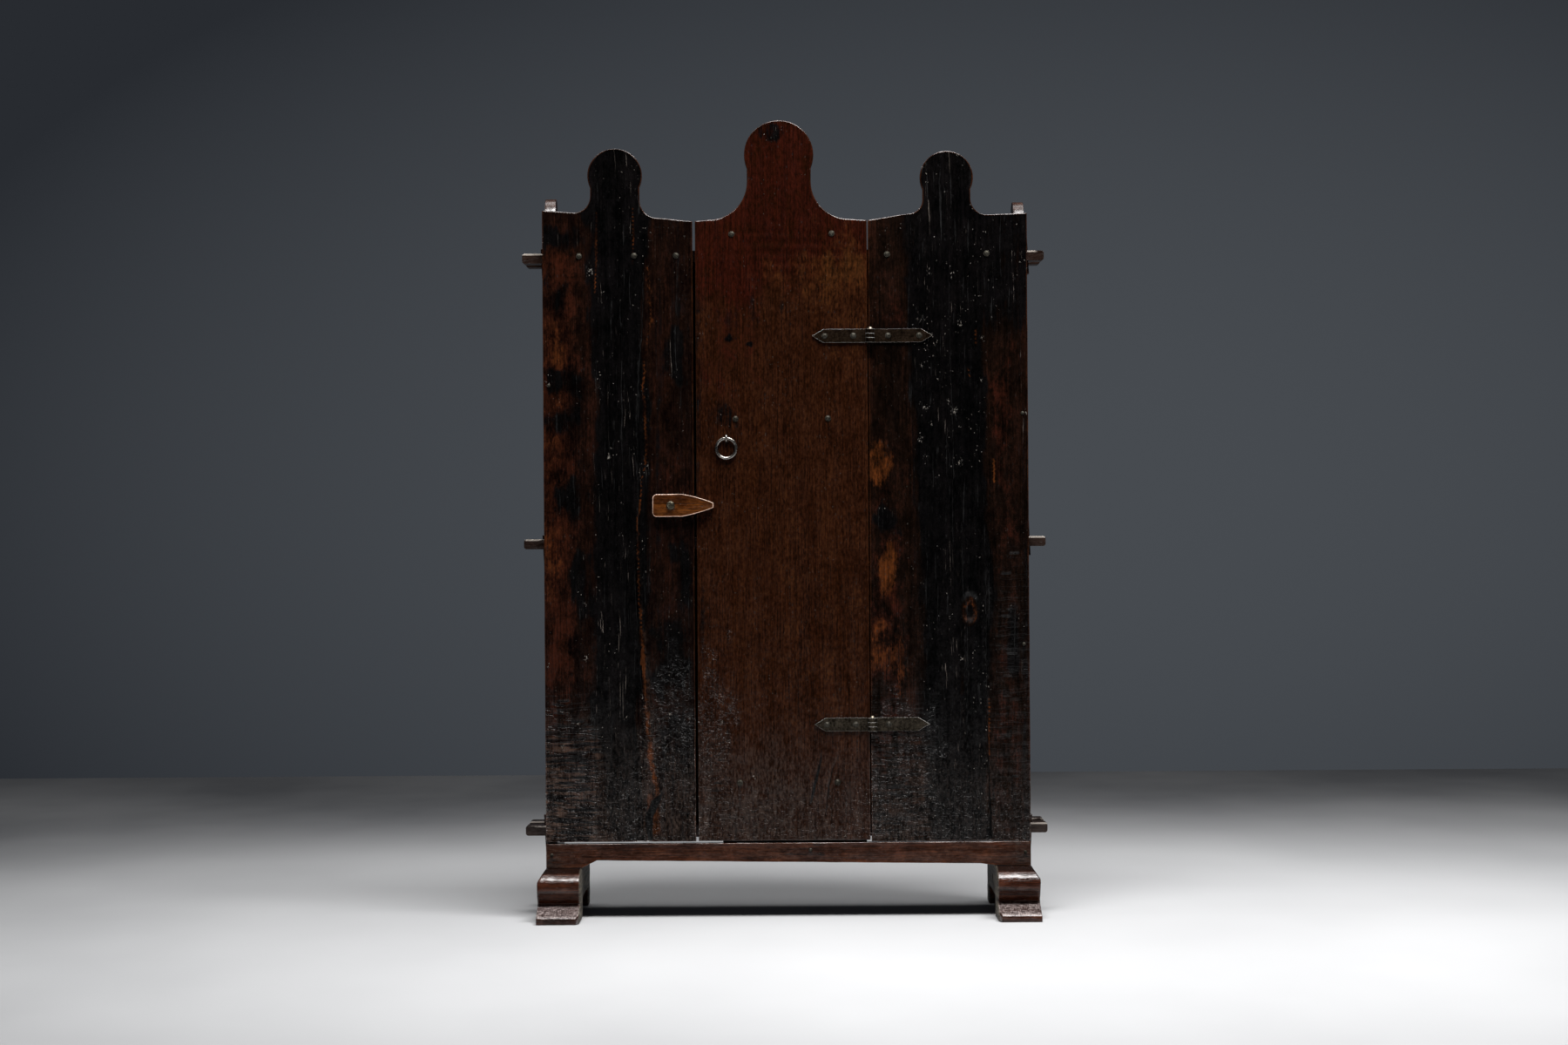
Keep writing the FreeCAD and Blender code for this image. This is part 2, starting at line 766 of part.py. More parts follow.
def make_back_planks():
    for index, name in enumerate(("left", "middle", "right")):
        left = back_plank_left(index)
        corners = rectangle(
            left, left + " + back_plank_width", "bottom_shelf_height", "valley_height - back_drop"
        )
        piece = front_board("back_plank_" + name, corners, "side_back", "back_thickness")
        spots = [
            (x, LEVELS[level] + " + shelf_thickness / 2")
            for level in ("bottom", "top")
            for x in back_nail_places()[2 * index:2 * index + 2]
        ]
        drill_front(piece, spots, "nail_hole", "back_thickness")


# Door and battens


BATTENS = {
    "top": ("top_batten_width", "valley_height - top_batten_gap - top_batten_width / 2"),
    "middle": ("batten_width", "middle_batten_height"),
    "bottom": ("batten_width", "bottom_batten_height"),
}


def door_nail_spots(batten):
    height = BATTENS[batten][1]
    return [("door_left + door_width * %g" % share, height) for share in DOOR_NAIL_SHARES[batten]]


def make_door():
    crest = front_lobe(
        "middle_lobe", "door_left + middle_lobe_offset", "middle_lobe", "middle_lobe"
    )
    corners = [
        ("door_left", "door_foot"),
        ("door_left", "valley_height"),
        *crest,
        ("door_right", "valley_height"),
        ("door_right", "door_foot"),
    ]
    piece = front_board("door_plank", corners, "front_face", "door_thickness")
    spots = [spot for batten in BATTENS for spot in door_nail_spots(batten)]
    drill_front(piece, spots, "nail_hole", "door_thickness")
    drill_front(piece, strap_nail_spots(-1), "nail_hole", "strap_nail_length - strap_thickness")
    legs = [("ring_x", "ring_pivot_height %s staple_leg_rise" % way) for way in ("+", "-")]
    drill_front(piece, legs, "staple_wire_radius + nail_clearance", "staple_depth")
    for name, (width, height) in BATTENS.items():
        edges = rectangle(
            "door_left + batten_inset", "door_right - batten_inset",
            "%s - %s / 2" % (height, width), "%s + %s / 2" % (height, width),
        )
        inner_face = "front_face + door_thickness"
        batten = front_board("door_batten_" + name, edges, inner_face, "batten_thickness")
        drill_front(batten, door_nail_spots(name), "nail_hole", "nail_length - door_thickness")


# Strap hinges: the frame strap carries the outer knuckles, the door strap the middle one


HINGES = {
    "upper": ("upper_hinge_height", "upper_frame_strap_reach", STRAP_NAIL_SHARES),
    "lower": ("lower_hinge_height", "lower_frame_strap_reach", STRAP_NAIL_SHARES[:1]),
}


def strap_reach(name, sign):
    return HINGES[name][1] if sign > 0 else "door_strap_reach"


def strap_shares(name, sign):
    """Shares of a strap's reach at which its nails stand."""
    return HINGES[name][2] if sign > 0 else STRAP_NAIL_SHARES


def strap_nail_spots(sign):
    return [
        ("hinge_axis_x + %d * %s * %g" % (sign, strap_reach(name, sign), share), HINGES[name][0])
        for name in HINGES
        for share in strap_shares(name, sign)
    ]


def make_strap(label, name, sign):
    piece = new_body(label, x="hinge_axis_x", y="hinge_axis_y", z=HINGES[name][0])
    reach = strap_reach(name, sign)
    half = "strap_width / 2"
    knuckle = "knuckle_height / 2"
    root = "knuckle_radius / 3"
    if sign > 0:
        steps = [(root, half), (root, knuckle), ("strap_notch", knuckle)]
    else:
        inner = knuckle + " - hinge_clearance"
        steps = [("strap_notch", half), ("strap_notch", inner), (root, inner)]
    upper = [("(%s - strap_point)" % reach, half)] + steps
    corners = [(reach, "0")] + upper + [(x, minus(z)) for x, z in reversed(upper)]
    corners = [(mirrored(sign, x), z) for x, z in corners]
    back = minus("knuckle_radius + hinge_clearance")
    pad(piece, outline(piece, "XZ_Plane", corners, offset=back), "strap_thickness")
    axis = [("0", "0")]
    if sign > 0:
        for bottom in ("-" + half, knuckle):
            pad(piece, circles(piece, "XY_Plane", axis, "knuckle_radius", offset=bottom), "knuckle_height")
    else:
        barrel = circles(piece, "XY_Plane", axis, "knuckle_radius")
        pad(piece, barrel, "knuckle_height - 2 * hinge_clearance", both_ways=True)
    bore = circles(piece, "XY_Plane", axis, "pin_radius + pin_clearance")
    pocket(piece, bore, "2 * strap_width", both_ways=True)
    nails = [("%d * %s * %g" % (sign, reach, share), "0") for share in strap_shares(name, sign)]
    holes = circles(piece, "XZ_Plane", nails, "nail_hole", offset=back)
    pocket(piece, holes, "2 * strap_width", both_ways=True)
    return piece


def make_hinge_pin(name):
    height = HINGES[name][0]
    shaft = doc.addObject("Part::Cylinder", name + "_pin_shaft")
    bind(shaft, "Radius", "pin_radius")
    bind(shaft, "Height", "strap_width")
    place(shaft, "hinge_axis_x", "hinge_axis_y", height + " - strap_width / 2")
    head = doc.addObject("Part::Cone", name + "_pin_head")
    bind(head, "Radius1", "pin_head_radius")
    bind(head, "Radius2", "pin_head_radius / 2")
    bind(head, "Height", "pin_head_height")
    place(head, "hinge_axis_x", "hinge_axis_y", height + " + strap_width / 2")
    pin = node(doc.addObject("Part::Fuse", name + "_hinge_pin"), name + "_hinge_pin")
    pin.Base = shaft
    pin.Tool = head
    return pin


# Nails: a hammered head on a round shank


def make_nail(name, x, y, z, head_radius, length, facing=1):
    """One nail whose head lies on the face at y. facing is 1 for a face that looks to the front."""
    turned = FreeCAD.Rotation(FreeCAD.Vector(1, 0, 0), 90 * facing)
    head = doc.addObject("Part::Cone", name + "_head")
    head.Placement = FreeCAD.Placement(FreeCAD.Vector(), turned)
    bind(head, "Radius1", head_radius)
    bind(head, "Radius2", head_radius + " * 0.45")
    bind(head, "Height", "nail_head_height")
    place(head, x, y, z)
    shank = doc.addObject("Part::Cylinder", name + "_shank")
    shank.Placement = FreeCAD.Placement(FreeCAD.Vector(), turned)
    bind(shank, "Radius", "nail_shank_radius")
    bind(shank, "Height", length)
    place(shank, x, "%s %s %s" % (y, "+" if facing > 0 else "-", length), z)
    nail = doc.addObject("Part::Fuse", name)
    nail.Base = head
    nail.Tool = shank
    return nail


def make_nails(label, spots, y, head_radius, length, facing=1):
    """Nails of one kind, as (x, z) spots on one face."""
    return [
        make_nail("%s_%d" % (label, index), x, y, z, head_radius, length, facing)
        for index, (x, z) in enumerate(spots)
    ]


def make_front_nails():
    shelf = [(x, "top_shelf_height + shelf_thickness / 2") for x in plank_nail_places()]
    edges = []
    for side, sign in SIDES.items():
        x = mirrored(sign, "(side_outside - side_thickness / 2)")
        edges += [(x, z) for z in edge_nail_heights(side)[:-1]]
    edges += apron_nail_spots()
    length = "(nail_length - cut_overrun)"
    large = make_nails("shelf_nail", shelf, "front_face", "rose_head_radius", length)
    small = make_nails("edge_nail", edges, "front_face", "small_head_radius", length)
    gathered("front_nails", large + small)


def make_back_nails():
    spots = [
        (x, LEVELS[level] + " + shelf_thickness / 2")
        for level in ("bottom", "top")
        for x in back_nail_places()
    ]
    length = "(nail_length - cut_overrun)"
    gathered("back_nails", make_nails("back_nail", spots, "back_face", "small_head_radius", length, -1))


def make_door_nails():
    spots = [spot for batten in BATTENS for spot in door_nail_spots(batten)]
    length = "(nail_length - cut_overrun)"
    gathered("door_nails", make_nails("door_nail", spots, "front_face", "rose_head_radius", length))


def make_strap_nails(label, sign):
    length = "(strap_nail_length - cut_overrun)"
    face = "(front_face - strap_thickness)"
    nails = make_nails(label + "_nail", strap_nail_spots(sign), face, "rose_head_radius", length)
    gathered(label, nails)


# Turn button and its slotted screw


def make_turn_button():
    piece = new_body("turn_button", x="button_x", y="button_face", z="button_height")
    half = "button_width / 2"
    tip = "button_tip / 2"
    reach = "(button_length - button_tail)"
    run = "(%s - button_straight)" % reach
    fall = "(%s - %s)" % (half, tip)
    bend = "((%s ^ 2 + %s ^ 2) / (8 * button_bow) + button_bow / 2)" % (run, fall)
    corners = [
        ("button_corner - button_tail", half, "button_corner", -1, False),
        ("button_straight", half),
        (reach, tip, bend, -1, False),
        (reach, minus(tip)),
        ("button_straight", minus(half), bend, -1, False),
        ("button_corner - button_tail", minus(half)),
        ("-button_tail", "button_corner - %s" % half, "button_corner", -1, False),
        ("-button_tail", "%s - button_corner" % half),
    ]
    pad(piece, outline(piece, "XZ_Plane", corners), "button_thickness", reverse=True)
    drill_front(piece, [("0", "0")], "screw_radius + screw_clearance", "2 * button_thickness")
    return piece


def make_turn_button_screw():
    facing = FreeCAD.Rotation(FreeCAD.Vector(1, 0, 0), 90)
    shank = doc.addObject("Part::Cylinder", "screw_shank")
    shank.Placement = FreeCAD.Placement(FreeCAD.Vector(), facing)
    bind(shank, "Radius", "screw_radius")
    bind(shank, "Height", "screw_length - cut_overrun")
    place(shank, "button_x", "button_face + screw_length - cut_overrun", "button_height")
    head = doc.addObject("Part::Cone", "screw_head")
    head.Placement = FreeCAD.Placement(FreeCAD.Vector(), facing)
    bind(head, "Radius1", "screw_head_radius")
    bind(head, "Radius2", "screw_head_radius * 0.7")
    bind(head, "Height", "screw_head_height")
    place(head, "button_x", "button_face", "button_height")
    slot = doc.addObject("Part::Box", "screw_slot")
    bind(slot, "Length", "2 * screw_head_radius")
    bind(slot, "Width", "screw_slot_depth + cut_overrun")
    bind(slot, "Height", "screw_slot_width")
    place(
        slot, "button_x - screw_head_radius",
        "button_face - screw_head_height - cut_overrun",
        "button_height - screw_slot_width / 2",
    )
    whole = doc.addObject("Part::Fuse", "screw_blank")
    whole.Base = shank
    whole.Tool = head
    screw = node(doc.addObject("Part::Cut", "turn_button_screw"), "turn_button_screw")
    screw.Base = whole
    screw.Tool = slot
    return screw


# Ring pull on its staple


def make_ring():
    ring = node(doc.addObject("Part::Torus", "pull_ring"), "pull_ring")
    ring.Placement = FreeCAD.Placement(
        FreeCAD.Vector(), FreeCAD.Rotation(FreeCAD.Vector(1, 0, 0), 90)
    )
    bind(ring, "Radius1", "ring_radius")
    bind(ring, "Radius2", "ring_wire_radius")
    place(ring, "ring_x", "ring_y", "ring_pivot_height - ring_radius")
    return ring


def make_staple():
    pieces = []
    for name, way in (("upper", "+"), ("lower", "-")):
        leg = doc.addObject("Part::Cylinder", "staple_%s_leg" % name)
        leg.Placement = FreeCAD.Placement(
            FreeCAD.Vector(), FreeCAD.Rotation(FreeCAD.Vector(1, 0, 0), -90)
        )
        bind(leg, "Radius", "staple_wire_radius")
        bind(leg, "Height", "front_face - ring_y + staple_depth - ring_clearance")
        place(leg, "ring_x", "ring_y", "ring_pivot_height %s staple_leg_rise" % way)
        pieces.append(leg)
    bow = doc.addObject("Part::Torus", "staple_bow")
    bow.Placement = FreeCAD.Placement(
        FreeCAD.Vector(), FreeCAD.Rotation(FreeCAD.Vector(0, 0, 1), FreeCAD.Vector(1, 0, 0))
    )
    bind(bow, "Radius1", "staple_leg_rise")
    bind(bow, "Radius2", "staple_wire_radius")
    place(bow, "ring_x", "ring_y", "ring_pivot_height")
    keep = doc.addObject("Part::Box", "staple_front")
    bind(keep, "Length", "2 * staple_leg_rise")
    bind(keep, "Width", "2 * staple_leg_rise")
    bind(keep, "Height", "4 * staple_leg_rise")
    place(
        keep, "ring_x - staple_leg_rise", "ring_y - 2 * staple_leg_rise",
        "ring_pivot_height - 2 * staple_leg_rise",
    )
    half_bow = doc.addObject("Part::Common", "staple_half_bow")
    half_bow.Base = bow
    half_bow.Tool = keep
    staple = node(doc.addObject("Part::MultiFuse", "ring_staple"), "ring_staple")
    staple.Shapes = [half_bow] + pieces
    return staple


for side in SIDES:
    make_foot(side)
make_foot_pegs()
for side in SIDES:
    make_side(side)
for level in LEVELS:
    make_shelf(level)
for label, wedge in WEDGES.items():
    make_wedge(label, *wedge)
make_left_plank()
make_right_plank()
make_apron()
make_door_stop()
make_back_planks()
make_front_nails()
make_back_nails()
make_door()
make_door_nails()
for name in HINGES:
    make_strap(name + "_frame_strap", name, 1)
    make_strap(name + "_door_strap", name, -1)
    make_hinge_pin(name)
make_strap_nails("frame_strap_nails", 1)
make_strap_nails("door_strap_nails", -1)
make_turn_button()
make_turn_button_screw()
make_staple()
make_ring()
doc.recompute()

for thing in doc.Objects:
    if "Invalid" in thing.State or "Error" in thing.State:
        raise RuntimeError("%s did not build: %s" % (thing.Label, thing.State))
for piece in NODES:
    if piece.Shape.isNull() or not piece.Shape.isValid():
        raise RuntimeError("%s has no valid shape" % piece.Label)

os.makedirs("parts", exist_ok=True)
for piece in NODES:
    piece.Shape.exportStep("parts/%s.step" % piece.Label)
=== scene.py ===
"""Plank cabinet on sledge feet: its looks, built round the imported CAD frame. Units are metres."""

import math
import random

import bpy
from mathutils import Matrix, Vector, kdtree, noise
from mathutils.geometry import delaunay_2d_cdt


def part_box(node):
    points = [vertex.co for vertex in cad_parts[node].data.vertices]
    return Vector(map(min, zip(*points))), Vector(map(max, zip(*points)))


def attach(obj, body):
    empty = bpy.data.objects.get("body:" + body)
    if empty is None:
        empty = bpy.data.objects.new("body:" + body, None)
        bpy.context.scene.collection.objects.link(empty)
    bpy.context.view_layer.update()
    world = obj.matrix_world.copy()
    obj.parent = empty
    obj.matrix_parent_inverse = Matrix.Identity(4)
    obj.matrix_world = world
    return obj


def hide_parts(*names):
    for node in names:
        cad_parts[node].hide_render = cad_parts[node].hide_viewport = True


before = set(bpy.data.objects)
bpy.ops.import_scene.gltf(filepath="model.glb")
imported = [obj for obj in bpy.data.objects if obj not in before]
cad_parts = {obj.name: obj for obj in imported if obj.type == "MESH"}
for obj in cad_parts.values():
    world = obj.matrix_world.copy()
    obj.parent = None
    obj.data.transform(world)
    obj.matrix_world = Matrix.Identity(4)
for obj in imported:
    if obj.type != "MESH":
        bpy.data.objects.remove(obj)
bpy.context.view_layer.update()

X, Y, Z = Vector((1, 0, 0)), Vector((0, 1, 0)), Vector((0, 0, 1))
# A board's own axes: across its face, up its face and into the wood.
FRONT = (X, Z, Y)
BACK = (-X, Z, -Y)
LEFT = (-Y, Z, X)
RIGHT = (Y, Z, -X)

TOUCHING = 1e-5
SAME_POINT = 1e-7
# Smaller holes, in square metres, are left out of the boards. A nail or screw fills each of them.
SMALLEST_HOLE = 4e-5
# The triangulation's setting that keeps the faces within the borders
WITHIN_BORDERS = 2
ROLL_STEPS = 4
# How strong the mask of rubbed edges is where an edge meets the face, and how wide it fades there
ROLLED = 0.75
EDGE_WIDTH = 0.007


# Small maths


def smooth(value, low, high):
    """0 below low, 1 above high, and a soft step between."""
    share = min(max((value - low) / (high - low), 0.0), 1.0)
    return share * share * (3 - 2 * share)


def fall(value, low, high):
    """1 below low and 0 above high."""
    return 1 - smooth(value, low, high)


def wobble(x, y, seed=0.0):
    """Noise from about -1 to 1."""
    return noise.noise(Vector((x, y, seed)))


def cloud(x, y, seed=0.0, octaves=4):
    """Fractal noise from about -1 to 1."""
    return noise.fractal(Vector((x, y, seed)), 1.0, 2.0, octaves)


def line_at(points, height):
    """Values on a line of (height, value, ...) points, lowest first."""
    if height <= points[0][0]:
        return points[0][1:]
    for low, high in zip(points, points[1:]):
        if height <= high[0]:
            share = (height - low[0]) / (high[0] - low[0])
            return [a + (b - a) * share for a, b in zip(low[1:], high[1:])]
    return points[-1][1:]


# Boards: the outline comes from the CAD node's own face, the edges are rolled by wear and the face
# carries its tool marks


def flat_loops(name, axes):
    """Outlines of the face of a CAD node that lies furthest out, as lists of (across, up)."""
    across, up, into = axes
    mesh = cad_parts[name].data
    spots = [
        (round(v.co.dot(across), 6), round(v.co.dot(up), 6), v.co.dot(into)) for v in mesh.vertices
    ]
    nearest = min(spot[2] for spot in spots)
    edges = set()
    for face in mesh.polygons:
        ring = [spots[index] for index in face.vertices]
        if max(spot[2] for spot in ring) - nearest > TOUCHING:
            continue
        for start, end in zip(ring, ring[1:] + ring[:1]):
            pair = (start[:2], end[:2])
            if pair[::-1] in edges:
                edges.remove(pair[::-1])
            else:
                edges.add(pair)
    following = dict(edges)
    loops = []
    while following:
        start, spot = following.popitem()
        loop = [start]
        while spot != start:
            loop.append(spot)
            spot = following.pop(spot)
        loops.append([Vector(spot) for spot in loop])
    return loops


def signed_area(loop):
    return sum(a.x * b.y - b.x * a.y for a, b in zip(loop, loop[1:] + loop[:1])) / 2


def spaced(loop, step):
    """The loop with its long edges divided and its very short ones left out."""
    made = []
    for start, end in zip(loop, loop[1:] + loop[:1]):
        length = (end - start).length
        if length < step * 0.2:
            continue
        count = max(1, round(length / step))
        made += [start.lerp(end, index / count) for index in range(count)]
    return made


def inward(loop):
    """At each point of a loop, the direction into the material, long enough to keep corners square."""
    normals = []
    for index, spot in enumerate(loop):
        before = (spot - loop[index - 1]).normalized()
        after = (loop[(index + 1) % len(loop)] - spot).normalized()
        middle = before + after
        middle = middle.normalized() if middle.length > 1e-6 else before
        reach = max(middle.dot(before), 0.6)
        normals.append(Vector((-middle.y, middle.x)) / reach)
    return normals


def row_spans(loops, height):
    """Where a level line at this height crosses the loops, in order."""
    cuts = []
    for loop in loops:
        for start, end in zip(loop, loop[1:] + loop[:1]):
            if (start.y > height) != (end.y > height):
                cuts.append(start.x + (end.x - start.x) * (height - start.y) / (end.y - start.y))
    return sorted(cuts)


def search_tree(spots):
    """Finds the nearest of some flat points."""
    spots = list(spots)
    tree = kdtree.KDTree(len(spots))
    for index, spot in enumerate(spots):
        tree.insert((spot.x, spot.y, 0), index)
    tree.balance()
    return lambda across, up: tree.find((across, up, 0))[2]


def filling(loops, step, lines, extra):
    """Grid points inside the loops, finer ones along the given lines of cracks, and the extra ones."""
    to_rim = search_tree(spot for loop in loops for spot in loop)
    rim_gap = step * 0.6
    extra_gap = step * 0.5
    low = min(spot.y for loop in loops for spot in loop)
    high = max(spot.y for loop in loops for spot in loop)
    rise = step * 0.87
    spots = [spot for spot in extra if to_rim(spot.x, spot.y) > rim_gap]
    to_extra = search_tree(spots)
    for row in range(1, int((high - low) / rise) + 1):
        height = low + row * rise
        cuts = row_spans(loops, height)
        grooves = [line_at(line, height) for line in lines if line[0][0] <= height <= line[-1][0]]
        for start, end in zip(cuts[::2], cuts[1::2]):
            first = math.ceil(start / step - row % 2 / 2)
            across = (first + row % 2 / 2) * step
            while across < end:
                clear = all(abs(across - g[0]) > g[1] + extra_gap for g in grooves)
                clear = clear and to_rim(across, height) > rim_gap
                if clear and (not extra or to_extra(across, height) > extra_gap):
                    spots.append(Vector((across, height)))
                across += step
            for centre, half in (g[:2] for g in grooves):
                for share in (-1.3, -0.6, 0, 0.6, 1.3):
                    across = centre + half * share
                    if start < across < end and to_rim(across, height) > rim_gap:
                        spots.append(Vector((across, height)))
    return spots


class Board:
    """Collects the points and faces of one board, in (across, up, depth) on its own axes."""

    def __init__(self, name, axes, step, back_step, roll, relief, back_relief, lines, extra):
        lo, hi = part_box(name)
        self.axes = axes
        depths = [corner.dot(axes[2]) for corner in (lo, hi)]
        self.start = min(depths)
        self.thickness = max(depths) - self.start
        self.points, self.faces, self.edge = [], [], []
        loops = [loop for loop in flat_loops(name, axes) if abs(signed_area(loop)) > SMALLEST_HOLE]
        loops = [spaced(loop, step) for loop in loops]
        self.rings = [[], []]
        for loop in loops:
            self.add_rim(loop, roll, (relief, back_relief))
        self.add_face(0, step, relief, lines, extra)
        self.add_face(1, back_step, back_relief, [], [])

    def add_rim(self, loop, roll, reliefs):
        normals = inward(loop)
        worn = [roll * (0.75 + 0.5 * wobble(p.x * 25, p.y * 25, 3.1)) for p in loop]
        waver = [0.00025 * (1 + wobble(p.x * 40, p.y * 40, 7.7)) for p in loop]
        rows = []
        for side in (0, 1):
            turn = range(ROLL_STEPS, -1, -1) if side == 0 else range(ROLL_STEPS + 1)
            for count in turn:
                angle = math.pi / 2 * count / ROLL_STEPS
                rows.append((side, 1 - math.cos(angle), 1 - math.sin(angle), count / ROLL_STEPS))
            if side == 0:
                rows += [(None, 0, share, 0) for share in (0.33, 0.67)]
        indices = []
        for side, inset, depth, share in rows:
            row = []
            for spot, normal, wear, wave in zip(loop, normals, worn, waver):
                wear *= 0.7 if side == 1 else 1
                place = spot + normal * (inset * wear + wave)
                if side is None:
                    deep = self.thickness * depth
                else:
                    deep = depth * wear + reliefs[side](place.x, place.y) * share
                    deep = deep if side == 0 else self.thickness - deep
                row.append(len(self.points))
                self.points.append((place.x, place.y, deep))
                self.edge.append(1.0 if side is None or share < 1 else ROLLED)
            indices.append(row)
        count = len(loop)
        for upper, lower in zip(indices, indices[1:]):
            for index in range(count):
                after = (index + 1) % count
                self.faces.append((upper[after], upper[index], lower[index], lower[after]))
        self.rings[0].append(indices[0])
        self.rings[1].append(indices[-1])

    def add_face(self, side, step, relief, lines, extra):
        rings = self.rings[side]
        loops = [[Vector(self.points[index][:2]) for index in ring] for ring in rings]
        given = [spot for loop in loops for spot in loop]
        to_rim = search_tree(given)
        borders, start = [], 0
        for loop in loops:
            borders.append(list(range(start, start + len(loop))))
            start += len(loop)
        flat = [index for ring in rings for index in ring]
        spots = given + filling(loops, step, lines, extra)
        made, _, faces, origins, _, _ = delaunay_2d_cdt(spots, [], borders, WITHIN_BORDERS, SAME_POINT)
        places = []
        for spot, origin in zip(made, origins):
            known = [index for index in origin if index < len(flat)]
            if known:
                places.append(flat[known[0]])
                continue
            places.append(len(self.points))
            depth = relief(spot.x, spot.y)
            deep = depth if side == 0 else self.thickness - depth
            self.points.append((spot.x, spot.y, deep))
            self.edge.append(ROLLED * fall(to_rim(spot.x, spot.y), 0, EDGE_WIDTH))
        for face in faces:
            corners = [places[index] for index in face]
            self.faces.append(corners if side == 0 else corners[::-1])

    def mesh(self, name, paint):
        across, up, into = self.axes
        mesh = bpy.data.meshes.new(name)
        places = [across * u + up * v + into * (self.start + w) for u, v, w in self.points]
        mesh.from_pydata(places, [], self.faces)
        mesh.shade_smooth()
        layers = {"edge": self.edge}
        if paint:
            rows = [paint(u, v) for u, v, w in self.points]
            for key in rows[0]:
                layers[key] = [row[key] for row in rows]
        for key, values in layers.items():
            mesh.attributes.new(key, "FLOAT", "POINT").data.foreach_set("value", values)
        return mesh


def plain_relief(seed, amount=0.0004):
    """Slight hand-planed unevenness."""

    def relief(u, v):
        return amount * (1.2 + wobble(u * 12, v * 5, seed) + 0.4 * wobble(u * 55, v * 14, seed))

    return relief


def add_object(name, data):
    made = bpy.data.objects.new(name, data)
    bpy.context.scene.collection.objects.link(made)
    return made


def make_board(name, body, axes, material, step=0.006, back_step=0.008, roll=0.0018,
               relief=None, back_relief=None, lines=(), extra=(), paint=None):
    seed = sum(map(ord, name)) * 0.37
    relief = relief or plain_relief(seed)
    back_relief = back_relief or plain_relief(seed + 5, 0.0005)
    board = Board(name, axes, step, back_step, roll, relief, back_relief, list(lines), list(extra))
    piece = add_object(name + "_board", board.mesh(name + "_board", paint))
    piece.data.materials.append(material)
    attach(piece, body)
    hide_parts(name)


# Materials


def tone(red, green, blue):
    """A colour written as 0 to 255 on screen, as a shader takes it."""
    shares = [channel / 255 for channel in (red, green, blue)]
    return tuple(s / 12.92 if s <= 0.04045 else ((s + 0.055) / 1.055) ** 2.4 for s in shares) + (1.0,)


def shader_colour(colour):
    """A colour of three values is meant as on screen, and one of four as a shader takes it."""
    return tone(*colour) if len(colour) == 3 else colour


